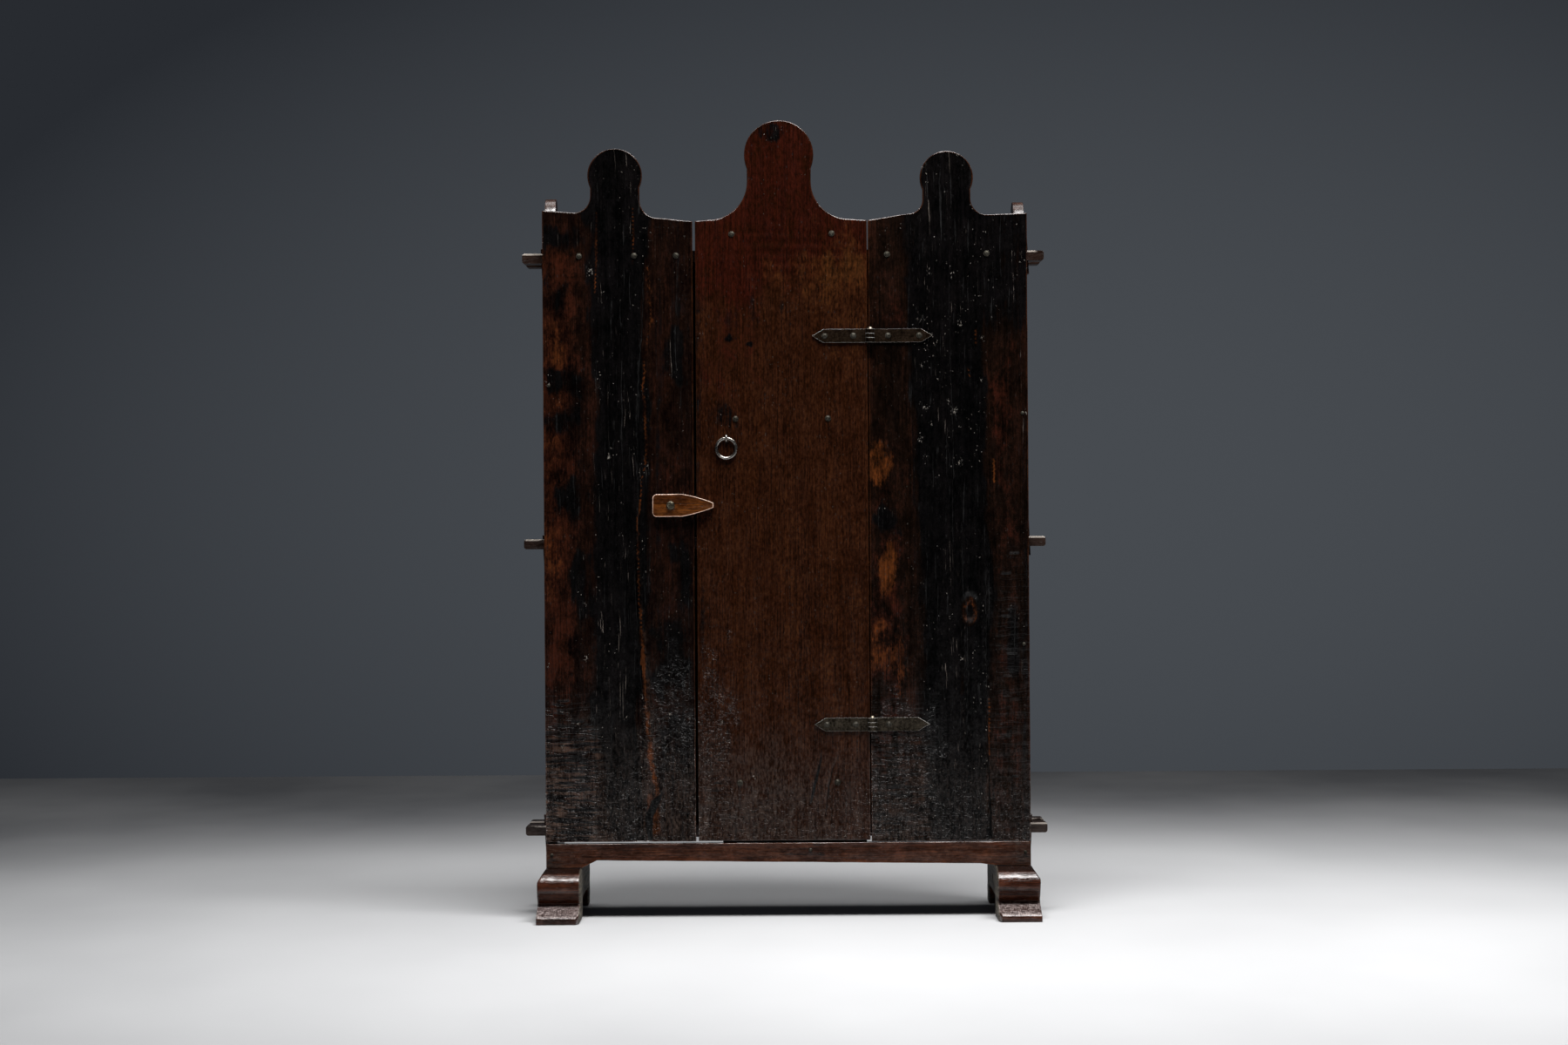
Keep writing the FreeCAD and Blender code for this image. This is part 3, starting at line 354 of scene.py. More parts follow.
class Shader:
    """Short names for the nodes that the materials and the backdrop are made of."""

    def __init__(self, owner, surface="Principled BSDF", place="Object"):
        owner.use_nodes = True
        self.owner = owner
        self.tree = owner.node_tree
        self.surface = self.tree.nodes[surface]
        self.place = self.node("TexCoord", {}, place)

    def node(self, kind, inputs, output=0, **settings):
        """Makes a node, sets or links its inputs, and gives back one of its outputs."""
        made = self.tree.nodes.new("ShaderNode" + kind)
        for key, setting in settings.items():
            setattr(made, key, setting)
        for key, content in inputs.items():
            self.put(made.inputs[key], content)
        return made.outputs[output]

    def put(self, socket, content):
        if isinstance(content, bpy.types.NodeSocket):
            self.tree.links.new(content, socket)
        else:
            socket.default_value = shader_colour(content) if socket.type == "RGBA" else content

    def math(self, kind, first, second=0.0, clamp=False):
        return self.node("Math", {0: first, 1: second}, operation=kind, use_clamp=clamp)

    def attribute(self, name):
        return self.node("Attribute", {}, "Fac", attribute_name=name)

    def geometry(self, name):
        return self.node("NewGeometry", {}, name)

    def axis(self, vector, index):
        return self.node("SeparateXYZ", {0: vector}, index)

    def stretched(self, place, scale, shift=(0, 0, 0)):
        return self.node("VectorMath", {0: place, 1: scale, 2: shift}, operation="MULTIPLY_ADD")

    def moved(self, place, amount, scale):
        """The place shaken by noise, so that bands wander."""
        shake = self.node("TexNoise", {"Vector": self.stretched(place, scale), "Scale": 1}, "Color")
        return self.node("VectorMath", {0: shake, 1: (amount,) * 3, 2: place}, operation="MULTIPLY_ADD")

    def noise(self, place, scale, detail=3.0, rough=0.55, shift=(0, 0, 0)):
        inputs = {"Vector": self.stretched(place, scale, shift), "Scale": 1}
        return self.node("TexNoise", {**inputs, "Detail": detail, "Roughness": rough}, "Fac")

    def spots(self, place, scale, share, radius):
        """Small round spots in a share of the cells of an uneven grid."""
        far = self.node("TexVoronoi", {"Vector": self.stretched(place, scale), "Scale": 1}, "Distance")
        draw = self.node("SeparateColor", {0: far.node.outputs["Color"]})
        chosen = self.math("GREATER_THAN", draw, 1 - share)
        return self.both(chosen, self.fall(far, radius * 0.6, radius))

    def total(self, *pairs):
        """The sum of values, each times its weight."""
        whole = 0.0
        for value, weight in pairs:
            whole = self.math("ADD", self.math("MULTIPLY", value, weight), whole)
        return whole

    def both(self, *shares):
        """Where all the shares hold."""
        whole = shares[0]
        for share in shares[1:]:
            whole = self.math("MULTIPLY", whole, share)
        return whole

    def step(self, value, low, high):
        """0 below low, 1 above high, and a soft step between."""
        inputs = {"Value": value, "From Min": low, "From Max": high}
        return self.node("MapRange", inputs, interpolation_type="SMOOTHSTEP")

    def fall(self, value, low, high):
        """1 below low and 0 above high."""
        return self.math("SUBTRACT", 1.0, self.step(value, low, high))

    def span(self, value, low, high):
        """A share from 0 to 1 spread over the range from low to high."""
        return self.node("MapRange", {"Value": value, "To Min": low, "To Max": high})

    def rubbed(self, low=0.53, high=0.62):
        """1 on the sharp outer edges of a finely divided mesh."""
        return self.step(self.geometry("Pointiness"), low, high)

    def ramp(self, value, stops):
        colour = self.node("ValToRGB", {0: value})
        band = colour.node.color_ramp
        while len(band.elements) < len(stops):
            band.elements.new(0.5)
        for element, (position, shade) in zip(band.elements, stops):
            element.position = position
            element.color = shader_colour(shade)
        return colour

    def mix(self, share, first, second, kind="MIX"):
        return self.node("Mix", {0: share, 6: first, 7: second}, 2, data_type="RGBA", blend_type=kind)

    def bump(self, height, distance, strength=1.0, normal=None):
        inputs = {"Height": height, "Distance": distance, "Strength": strength}
        if normal:
            inputs["Normal"] = normal
        return self.node("Bump", inputs, "Normal")

    def finish(self, **sockets):
        for key, content in sockets.items():
            self.put(self.surface.inputs[key.replace("_", " ")], content)
        return self.owner


def grey_share(share):
    """A grey that a colour is multiplied by."""
    return (share,) * 3 + (1,)


def old_wood(name, tones, along="Z", warm=(42, 16, 7), honey=(62, 31, 12), gloss=(0.15, 0.3), rub_and_highlight=0.3,
             lustre=(0.06, 0.28), flow=0.14, blotch=1.0, worn_node=False, foot=False, ends=None):
    """Dark waxed old wood. tones are its dark, middle and light colours. flow says how streaky it is,
    and blotch how cloudy. The masks come from the mesh, and are nothing where it has none."""
    s = Shader(bpy.data.materials.new(name))

    def grain(across, length):
        return (across, across, length) if along == "Z" else (length, across, across)

    masks = ("dark", "grey", "hewn", "pecked", "sunk", "glint", "edge")
    heart, patina_and_floor_reflection, hewn, pecked, hollow, glints, edge = (s.attribute(mask) for mask in masks)
    place = s.moved(s.place, 0.010, (14, 14, 9))
    fibre = s.noise(s.place, grain(620, 13), 3, 0.6)
    speck = s.noise(s.moved(s.place, 0.006, (30, 30, 30)), grain(330, 120), 3, 0.7)
    streak = s.noise(place, grain(120, 3.4), 6, 0.66)
    broad = s.noise(place, grain(26, 3.5), 4, 0.6)
    mottle = s.noise(s.moved(s.place, 0.016, (40, 40, 30)), grain(34, 22), 8, 0.72)
    cloudy = 0.16 * blotch, (0.46 - flow / 2) * blotch
    figure = s.total((streak, flow), (broad, cloudy[0]), (mottle, cloudy[1]), (fibre, 0.12),
                     (speck, 0.88 - flow - sum(cloudy)))
    low, middle, high = tones
    colour = s.ramp(figure, [(0.42, low), (0.5, middle), (0.58, high)])
    # Worn patches: first the red-brown ones, then the honey-brown ones
    ragged = s.total((mottle, 2.4), (speck, 1.1), (streak, 0.5), (1.0, -2.0))
    for mask, hue in (("warm", warm), ("honey", honey)):
        given = s.attribute(mask)
        share = s.step(s.math("ADD", given, ragged), 0.20, 1.05)
        share = s.both(share, s.step(given, 0.02, 0.3))
        dim = tuple(channel * 0.5 for channel in hue)
        colour = s.mix(share, colour, s.ramp(figure, [(0.43, dim), (0.57, hue)]))
    # Black heartwood with open checks and thin light scratches along the grain
    ragged = s.total((streak, 1.3), (mottle, 1.4), (1.0, -1.35))
    black = s.both(s.step(s.math("ADD", heart, ragged), 0.30, 0.70), s.step(heart, 0.02, 0.3))
    colour = s.mix(black, colour, s.ramp(figure, [(0.44, (1, 1, 1)), (0.58, (7, 5, 5))]))
    check = s.step(s.noise(place, grain(320, 7), 3, 0.55, (3, 5, 7)), 0.62, 0.67)
    check = s.both(check, s.span(black, 0.1, 1.0))
    hair = s.step(s.noise(place, grain(600, 10), 3, 0.6, (13, 1, 2)), 0.655, 0.715)
    hair = s.both(hair, s.span(black, 0.04, 1.0), s.step(broad, 0.46, 0.60))
    colour = s.mix(hair, colour, (92, 84, 78))
    # Grey patches, most of them towards the bottom: partly greyed old wood, partly a painted reflection of
    # the pale floor
    grey = s.both(patina_and_floor_reflection, s.step(s.total((mottle, 0.55), (speck, 0.45)), 0.38, 0.58))
    colour = s.mix(grey, colour, s.ramp(speck, [(0.38, (13, 9, 7)), (0.62, (50, 38, 31))]))
    # Dashes and ridges across the grain, left by the adze, and finer chips: painted shade darkens the
    # furrows
    #     and chip hollows, and a painted highlight lightens the ridges
    furrow = s.noise(s.moved(s.place, 0.007, (24, 24, 24)), grain(17, 165), 2, 0.55)
    dashes = s.both(s.step(furrow, 0.530, 0.560), hewn, s.step(mottle, 0.36, 0.44))
    chips = s.noise(s.moved(s.place, 0.012, (60, 60, 60)), (130, 130, 260), 2, 0.55, (5, 5, 5))
    chips = s.both(s.step(chips, 0.48, 0.56), pecked)
    ridges = s.both(s.fall(furrow, 0.42, 0.50), hewn, s.step(mottle, 0.42, 0.54))
    colour = s.mix(s.both(ridges, hewn, s.span(broad, 0.2, 0.9)), colour, (74, 57, 48))
    darkest = tuple(channel * 0.6 for channel in low)
    colour = s.mix(s.total((dashes, 0.95), (chips, 0.6)), colour, darkest)
    # Cracks, checks and pits painted near black, as painted shade in them, and small bright specks: partly
    # wax residue
    #     and partly painted glints
    shade = s.ramp(fibre, [(0.34, grey_share(0.6)), (0.62, grey_share(1.2))])
    colour = s.mix(1.0, colour, shade, "MULTIPLY")
    pits = s.both(s.spots(s.place, grain(230, 120), 0.16, 0.30), s.step(mottle, 0.42, 0.56))
    sunk = s.math("ADD", s.step(hollow, 0.05, 0.6), s.math("MULTIPLY", check, 0.8), clamp=True)
    sunk = s.math("ADD", sunk, s.math("MULTIPLY", pits, 0.5), clamp=True)
    colour = s.mix(sunk, colour, (2, 1, 1))
    crowd = s.step(s.noise(s.place, (26, 26, 17), 3, 0.6, (4, 1, 8)), 0.50, 0.62)
    crowd = s.total((s.both(crowd, s.span(black, 0.2, 1.0)), 0.9), (pecked, 0.5), (1.0, 0.02))
    specks_and_glints = s.spots(s.moved(s.place, 0.006, (160, 160, 160)), (260, 260, 200), 0.26, 0.20)
    specks_and_glints = s.both(specks_and_glints, crowd)
    torn = s.moved(s.place, 0.010, (90, 90, 90))
    # Painted glints: clusters of bright strokes round the glint spots
    chipped_glints = s.total((s.noise(torn, (460, 460, 250), 3, 0.6, (9, 2, 2)), 1.0), (glints, 0.12))
    chipped_glints = s.both(s.step(chipped_glints, 0.65, 0.73), s.step(glints, 0.05, 0.3))
    specks_and_glints = s.math("ADD", specks_and_glints, chipped_glints, clamp=True)
    colour = s.mix(specks_and_glints, colour, (112, 106, 99))
    # Edges rubbed lighter; the turn button's near-white edges are partly a painted highlight
    rubbed = s.rubbed() if worn_node else s.step(edge, 0.78, 1.0)
    rubbed = s.both(rubbed, s.span(s.step(mottle, 0.40, 0.56), 0.35, 1.0))
    colour = s.mix(s.math("MULTIPLY", rubbed, rub_and_highlight), colour, honey)
    shine = s.total((s.span(mottle, *gloss), 1.0), (grey, 0.16), (sunk, 0.4), (rubbed, -0.08))
    if foot:
        colour, shine = scuffs_and_painted_light(s, colour, shine, mottle)
    if ends:
        colour = tenon_ends(s, colour, ends, figure, mottle)
    # Relief too fine for the mesh
    pores = s.step(s.noise(s.place, grain(900, 24), 2, 0.5, (1, 8, 3)), 0.30, 0.42)
    height = s.total((fibre, 0.4), (pores, 0.3), (streak, 0.9), (check, -1.6), (hair, 0.4))
    normal = s.bump(height, 0.00025)
    dents = s.total((s.noise(s.place, grain(85, 60), 3, 0.6, (2, 6, 1)), 1.0), (pits, -0.25))
    normal = s.bump(dents, 0.0007, 0.8, normal)
    tooled = s.total((s.both(furrow, hewn), -1.0), (dashes, -0.4), (chips, -1.0), (specks_and_glints, 0.25))
    normal = s.bump(tooled, 0.0016, 1.0, normal)
    waxed = s.step(s.total((mottle, 0.3), (speck, 0.4), (streak, 0.3)), 0.40, 0.60)
    specular = s.total((s.span(waxed, *lustre), 1.0), (rubbed, 0.5))
    return s.finish(Base_Color=colour, Roughness=shine, Normal=normal, Specular_IOR_Level=specular)


def tenon_ends(s, colour, ends, figure, mottle):
    """The shelves' tenons outside the side boards, with a painted highlight on the front of their top edges.
    """
    outside = s.step(s.math("ABSOLUTE", s.axis(s.place, 0)), 0.3625, 0.3640)
    colour = s.mix(outside, colour, s.ramp(figure, [(0.42, ends[0]), (0.58, ends[1])]))
    # Painted highlight: a light band just under each shelf top, on the front faces of the tenons
    sheen_bands = []
    for top in SHELF_TOPS:
        height = s.axis(s.place, 2)
        painted_sheen = s.both(s.step(height, top - 0.0040, top - 0.0026), s.fall(height, top, top + 0.001))
        sheen_bands.append((painted_sheen, 1.0))
    forward = s.math("MULTIPLY", s.axis(s.geometry("Normal"), 1), -1.0)
    painted_sheen = s.both(outside, s.total(*sheen_bands), s.step(mottle, 0.42, 0.54), s.step(forward, 0.2, 0.6))
    return s.mix(painted_sheen, colour, (178, 168, 158))


def scuffs_and_painted_light(s, colour, shine, mottle):
    """The feet's dull grey toe tops, partly dust and scratches and partly a painted sheen, with a painted
    highlight along their front edge; painted shade on their tops in front of the apron; and their inner
    faces, which were never waxed.
    """
    x, y, z = (s.axis(s.place, index) for index in range(3))
    # Painted shade: the foot's top in front of the apron, darkened to near black
    painted_top_shade = s.both(s.step(z, 0.0685, 0.0725), s.fall(y, -0.072, -0.068))
    colour = s.mix(s.math("MULTIPLY", painted_top_shade, 0.9), colour, (9, 4, 3))
    upward = s.step(s.axis(s.geometry("Normal"), 2), 0.45, 0.85)
    tread = s.both(upward, s.fall(y, -0.117, -0.107), s.fall(z, 0.030, 0.036))
    across, along = ((140, 620, 100), 3, 0.65), ((700, 120, 100), 2, 0.6)
    scratched = s.total((s.noise(s.place, *across), 0.6), (s.noise(s.place, *along), 0.4))
    # Toe tops in pale grey-pink: partly dust and scratches, partly a painted sheen
    dust_and_sheen = [(0.43, (30, 21, 19)), (0.50, (70, 58, 56)), (0.57, (140, 128, 125))]
    dust_and_sheen = s.ramp(scratched, dust_and_sheen)
    # Painted highlight along the toe's front edge
    rim = s.both(s.step(s.math("MULTIPLY", y, -1.0), 0.1485, 0.1515), s.step(scratched, 0.40, 0.56))
    dust_and_sheen = s.mix(s.math("MULTIPLY", rim, 0.8), dust_and_sheen, (150, 138, 134))
    colour = s.mix(s.both(tread, s.span(s.step(mottle, 0.38, 0.52), 0.55, 1.0)), colour, dust_and_sheen)
    inner = s.fall(s.math("ABSOLUTE", x), 0.3088, 0.3115)
    split = s.noise(s.place, (60, 9, 190), 5, 0.7)
    bare = s.ramp(split, [(0.38, (20, 17, 13)), (0.50, (62, 56, 47)), (0.62, (104, 96, 84))])
    colour = s.mix(inner, colour, bare)
    return colour, s.total((shine, 1.0), (inner, 0.4), (tread, 0.15))


def raw_wood(name, tones):
    """Dry, unpolished wood of the back and the inside."""
    s = Shader(bpy.data.materials.new(name))
    place = s.moved(s.place, 0.012, (12, 12, 7))
    streak = s.noise(place, (90, 90, 2.2), 5, 0.62)
    fine = s.noise(s.place, (520, 520, 14), 4, 0.6)
    stain = s.noise(s.place, (7, 7, 5), 5, 0.6)
    low, middle, high = tones
    colour = s.ramp(streak, [(0.34, low), (0.5, middle), (0.66, high)])
    colour = s.mix(s.math("MULTIPLY", s.step(stain, 0.45, 0.7), 0.6), colour, low)
    shade = s.ramp(fine, [(0.3, grey_share(0.5)), (0.65, grey_share(1.2))])
    colour = s.mix(1.0, colour, shade, "MULTIPLY")
    normal = s.bump(s.math("ADD", fine, streak), 0.0005)
    return s.finish(Base_Color=colour, Roughness=s.span(stain, 0.55, 0.85), Normal=normal)


def forged(name, colours, rough=(0.28, 0.5), grain=420, depth=0.0002, bright=None, metal=1.0):
    """Forged iron or brass. bright is the colour of its rubbed edges, for a finely divided mesh."""
    s = Shader(bpy.data.materials.new(name))
    spots = s.noise(s.place, (grain,) * 3, 4, 0.6)
    broad = s.noise(s.place, (90,) * 3, 3, 0.5)
    low, high = colours
    colour = s.ramp(s.total((spots, 0.6), (broad, 0.4)), [(0.38, low), (0.62, high)])
    if bright:
        colour = s.mix(s.both(s.rubbed(0.54, 0.66), s.step(broad, 0.36, 0.5)), colour, bright)
    normal = s.bump(s.math("ADD", spots, broad), depth)
    return s.finish(Base_Color=colour, Roughness=s.span(spots, *rough), Metallic=metal, Normal=normal)


def paper(name, near, far):
    """The pale floor, with a painted pool of light: its colour grows darker away from the lamps."""
    s = Shader(bpy.data.materials.new(name))
    far_off = s.node("VectorMath", {0: s.place, 1: (0.5, -0.5, 0)}, "Value", operation="DISTANCE")
    colour = s.mix(s.step(far_off, 0.3, 3.3), near, far)
    cloudy = s.noise(s.place, (1.5, 0.8, 1), 4, 0.5)
    colour = s.mix(0.06, colour, s.ramp(cloudy, [(0.3, (120, 122, 126)), (0.7, (250, 250, 250))]))
    return s.finish(Base_Color=colour, Roughness=s.span(cloudy, 0.5, 0.65), Specular_IOR_Level=0.12)


LEFT_TONES = ((4, 1, 1), (15, 6, 3), (34, 14, 7))
DOOR_TONES = ((20, 7, 2), (34, 14, 5), (47, 23, 9))
RIGHT_TONES = ((4, 2, 1), (14, 6, 3), (32, 14, 7))
SIDE_TONES = ((10, 4, 2), (24, 10, 5), (44, 21, 11))
FOOT_TONES = ((27, 11, 5), (49, 22, 11), (69, 35, 19))
APRON_TONES = ((30, 14, 8), (51, 26, 15), (76, 42, 25))
BUTTON_TONES = ((26, 9, 1), (52, 23, 3), (84, 44, 8))
RAW_TONES = ((34, 27, 21), (58, 47, 37), (84, 71, 57))
# The heights of the shelves' upper faces, for the painted highlight on the tenons' edges
SHELF_TOPS = (0.137, 0.568, 0.998)

left_wood = old_wood("left_plank_wood", LEFT_TONES, warm=(46, 18, 8), honey=(76, 38, 14))
door_wood = old_wood("door_wood", DOOR_TONES, warm=(41, 11, 4), honey=(58, 30, 10), flow=0.08, blotch=0.55)
right_wood = old_wood("right_plank_wood", RIGHT_TONES, warm=(43, 15, 7), honey=(80, 40, 14))
side_wood = old_wood("side_wood", SIDE_TONES, gloss=(0.25, 0.42))
shelf_wood = old_wood("shelf_wood", SIDE_TONES, along="X", gloss=(0.25, 0.42), lustre=(0.15, 0.45),
                      ends=((15, 7, 4), (40, 24, 16)))
foot_wood = old_wood("foot_wood", FOOT_TONES, along="X", gloss=(0.17, 0.29), honey=(120, 92, 76),
                     lustre=(0.2, 0.5), worn_node=True, foot=True)
apron_wood = old_wood("apron_wood", APRON_TONES, along="X", warm=(70, 34, 20), honey=(92, 56, 34))
wedge_wood = old_wood("wedge_wood", SIDE_TONES, gloss=(0.2, 0.4), worn_node=True)
# The turn button's near-white edges: partly worn lacquer and partly a painted highlight
button_wood = old_wood("button_wood", BUTTON_TONES, along="X", gloss=(0.2, 0.4), honey=(218, 182, 162),
                       lustre=(0.1, 0.3), rub_and_highlight=1.0)
back_wood = raw_wood("back_wood", RAW_TONES)
strap_iron = forged("strap_iron", ((18, 12, 8), (54, 42, 32)), (0.34, 0.6))
pale_strap_iron = forged("pale_strap_iron", ((16, 13, 10), (72, 65, 55)), (0.36, 0.62))
# Near-white iron for the straps' bevelled edges: partly rubbed bare metal and partly a painted highlight
rubbed_and_highlit_iron = forged("rubbed_and_highlit_iron", ((168, 164, 156), (240, 236, 230)), (0.35, 0.5), metal=0.2)
nail_iron = forged("nail_iron", ((34, 32, 27), (74, 71, 64)), (0.5, 0.75), bright=(104, 100, 92))
pin_iron = forged("pin_iron", ((60, 54, 46), (120, 112, 100)), (0.25, 0.45))
bright_iron = forged("bright_iron", ((92, 88, 84), (158, 154, 148)), (0.2, 0.34))
brass = forged("screw_metal", ((62, 58, 48), (112, 106, 90)), (0.3, 0.5))
worn_brass = forged("worn_screw_metal", ((150, 144, 126), (205, 198, 178)), (0.3, 0.4))


# Front planks: marks that follow the photograph, as places on the front face



def metres(lengths):
    """Tables of places are written in millimetres."""
    if isinstance(lengths, (int, float)):
        return round(lengths / 1000, 7)
    return [metres(length) for length in lengths]


# Each crack is a line of (height, across, half width, depth) points
LEFT_CRACKS = metres([
    [(114, -206, 3, 4), (150, -208, 6, 4), (175, -198, 7, 3), (190, -186, 2, 1)],
    [(560, -221.5, 0.8, 1), (640, -220.5, 1.2, 2), (760, -222.5, 1.2, 2.5), (900, -212.5, 1, 2),
     (975, -210.5, 0.6, 1)],
    [(330, -216.5, 0.8, 1), (420, -223.5, 1.2, 2), (520, -226.5, 0.9, 1)],
    [(610, -266.5, 0.6, 0.6), (700, -263.5, 0.9, 1), (800, -265.5, 0.6, 0.6)],
    [(150, -150.5, 1.2, 3), (153, -150.5, 2.6, 4), (156, -150.5, 1.2, 3)],
])
DOOR_CRACKS = metres([
    [(150, 55.5, 0.6, 1), (185, 59, 0.9, 2), (215, 65.5, 0.8, 1.5), (235, 70, 0.5, 0.6)],
    [(168, 33, 1.8, 1), (190, 38, 2.8, 1.8), (215, 45, 2.6, 1.6), (244, 50, 1.2, 0.8)],
])
RIGHT_CRACKS = metres([
    [(114, 301.5, 2.2, 6), (150, 302, 1.6, 4), (200, 300, 0.9, 2), (330, 297, 0.8, 1.5),
     (520, 297.5, 0.6, 1)],
    [(560, 248, 0.7, 1), (700, 250, 1, 1.5), (830, 246.5, 0.8, 1), (960, 244, 0.6, 0.8)],
    [(250, 266.5, 0.7, 1), (360, 270, 1, 1.5), (470, 269, 0.7, 1)],
])
# The strip of sapwood, as (height, across, half width)
SAP_LINE = metres([
    (100, -206, 3), (156, -205, 5), (185, -192, 4.6), (242, -204, 3.6), (336, -211, 4), (424, -216, 2.4),
    (500, -221, 1.6), (600, -221, 1.4), (706, -207, 2), (800, -212, 2.6), (860, -207, 0.4),
    (894, -199, 2.4), (950, -203, 2.4), (990, -207, 0.6),
])


def cut_gashes(count, left, right, low, high, length, seed):
    """Adze cuts across the grain, as (left end, right end, height, slope, half width, depth)."""
    chance = random.Random(seed)
    cuts = []
    for index in range(count):
        long = chance.uniform(*length)
        start = chance.uniform(left, max(left, right - long))
        height = low + (high - low) * (index + chance.uniform(0.1, 0.9)) / count
        cuts.append((start, start + long, height, chance.uniform(-0.10, 0.04),
                     chance.uniform(0.0006, 0.0012), chance.uniform(0.0002, 0.0006)))
    return cuts


LEFT_GASHES = cut_gashes(34, -0.358, -0.285, 0.118, 0.245, (0.014, 0.055), 5)
LEFT_GASHES += cut_gashes(12, -0.355, -0.300, 0.245, 0.330, (0.010, 0.030), 6)
RIGHT_GASHES = cut_gashes(12, 0.310, 0.352, 0.130, 0.560, (0.008, 0.024), 7)
RIGHT_GASHES += cut_gashes(16, 0.130, 0.200, 0.125, 0.270, (0.010, 0.030), 8)
DOOR_GASHES = cut_gashes(12, -0.120, -0.040, 0.120, 0.250, (0.006, 0.020), 9)


def gash_height(gash, u):
    left, _, height, slope = gash[:4]
    return height + slope * (u - left) + 0.0012 * wobble(u * 90, height * 40, 6.6)


def gash_depth(gashes, u, v):
    depth = 0
    for gash in gashes:
        if abs(v - gash[2]) > 0.012 or not gash[0] < u < gash[1]:
            continue
        taper = smooth(u, gash[0], gash[0] + 0.006) * fall(u, gash[1] - 0.006, gash[1])
        half = gash[4] * (0.4 + 0.6 * taper)
        away = abs(v - gash_height(gash, u))
        depth = max(depth, gash[5] * taper * fall(away, half * 0.3, half * 1.3))
    return depth


def gash_spots(gashes):
    """Points along and beside the gashes, so that the mesh is fine enough to hold them."""
    spots = []
    for gash in gashes:
        count = max(3, round((gash[1] - gash[0]) / 0.0022))
        for index in range(count + 1):
            u = gash[0] + (gash[1] - gash[0]) * index / count
            for share in (-1.4, -0.5, 0.5, 1.4):
                spots.append(Vector((u, gash_height(gash, u) + gash[4] * share)))
    return spots


# Clusters of painted glints on chipped spots in the black wood, as (across, height, radius)
RIGHT_GLINTS = metres([
    (205.5, 892, 6), (209.8, 849, 6), (203.3, 822, 4), (208.8, 762, 7), (217.4, 737, 4), (251.8, 755, 8),
    (243.2, 769, 5), (201.3, 714, 6), (208.8, 686, 5), (207.6, 675, 4), (250.8, 958, 6), (215.2, 962, 7),
    (260.5, 885, 6), (293.9, 863, 6), (291.7, 803, 4), (223.9, 857, 4), (260.5, 678, 7), (357, 752, 5),
    (260, 386, 6), (245, 410, 4),
])
LEFT_GLINTS = metres([
    (-300, 390, 7), (-355, 379, 5), (-312, 290, 6), (-335, 258, 6), (-215, 332, 6), (-175, 303, 6),
    (-356, 800, 4), (-291, 966, 7), (-264, 690, 5), (-245, 620, 4), (-301, 470, 5), (-240, 300, 6),
])
DOOR_GLINTS = metres([
    (-98, 290, 6), (-88, 262, 5), (-50, 210, 4), (85, 120, 4),
])
# Light slivers, as (height, across, half width)
LEFT_SLIVERS = metres([
    [(930, -283.5, 1), (980, -281.5, 2), (1055, -280, 1.2)],
    [(975, -227, 1), (1020, -225.5, 1.8), (1062, -226.2, 0.8)],
])
RIGHT_SLIVERS = metres([
    [(850.7, 284.2, 1.2), (878.6, 284.2, 1.4)],
    [(801.1, 275.6, 0.8), (820.5, 272.6, 1.2)],
    [(648, 310.4, 1.4), (682.4, 310, 1.6)],
    [(240, 301, 1.2), (330, 300, 1.4)],
])
# The edges of the black heartwood, as (height, across)
LEFT_HEART = metres([
    [(110, -262), (300, -282), (550, -290), (800, -275), (1020, -292), (1070, -310)],
    [(110, -220), (400, -215), (950, -206), (1050, -200), (1080, -190)],
])
RIGHT_HEART = metres([
    [(110, 215), (300, 205), (500, 197), (750, 190), (950, 182), (1050, 200)],
    [(110, 300), (500, 300), (900, 295), (1050, 300)],
])
# Patches, as (strength, across, height, half width, half height) in metres
LEFT_DARK = [
    (0.7, -0.335, 0.80, 0.03, 0.03), (0.7, -0.330, 0.745, 0.04, 0.03), (0.7, -0.315, 0.64, 0.03, 0.05),
    (0.7, -0.305, 0.50, 0.025, 0.07), (0.7, -0.165, 0.83, 0.025, 0.08), (0.7, -0.155, 0.52, 0.03, 0.06),
    (0.7, -0.175, 0.40, 0.04, 0.10), (0.7, -0.16, 0.25, 0.04, 0.08), (0.7, -0.345, 0.93, 0.02, 0.05),
    (0.7, -0.340, 1.015, 0.04, 0.025),
]
LEFT_WARM = [(0.5, -0.165, 0.62, 0.03, 0.10), (0.4, -0.15, 0.86, 0.02, 0.09),
             (0.5, -0.185, 0.93, 0.015, 0.08), (0.5, -0.30, 0.22, 0.05, 0.06)]
DOOR_DARK = [
    (0.36, -0.075, 0.90, 0.05, 0.03), (0.28, -0.02, 0.915, 0.09, 0.02), (0.80, -0.082, 0.865, 0.012, 0.008),
    (0.80, -0.049, 0.857, 0.008, 0.007), (0.50, -0.105, 0.74, 0.03, 0.06),
    (0.60, -0.036, 1.176, 0.036, 0.024), (0.35, 0.01, 1.012, 0.06, 0.012),
]
DOOR_HONEY = [(0.5, 0.04, 0.965, 0.10, 0.035), (0.45, 0.09, 0.93, 0.05, 0.12),
              (0.22, 0.04, 0.42, 0.12, 0.28), (0.2, -0.11, 0.30, 0.03, 0.12)]
RIGHT_DARK = [(0.85, 0.148, 0.590, 0.03, 0.035), (0.5, 0.17, 0.40, 0.03, 0.05),
              (0.6, 0.345, 0.42, 0.02, 0.08)]
RIGHT_WARM = [
    (0.55, 0.322, 0.775, 0.028, 0.11), (0.3, 0.325, 0.56, 0.02, 0.12), (0.6, 0.150, 0.47, 0.035, 0.24),
    (0.4, 0.16, 0.90, 0.03, 0.05), (0.35, 0.332, 0.26, 0.03, 0.16), (0.3, 0.16, 0.23, 0.03, 0.08),
]
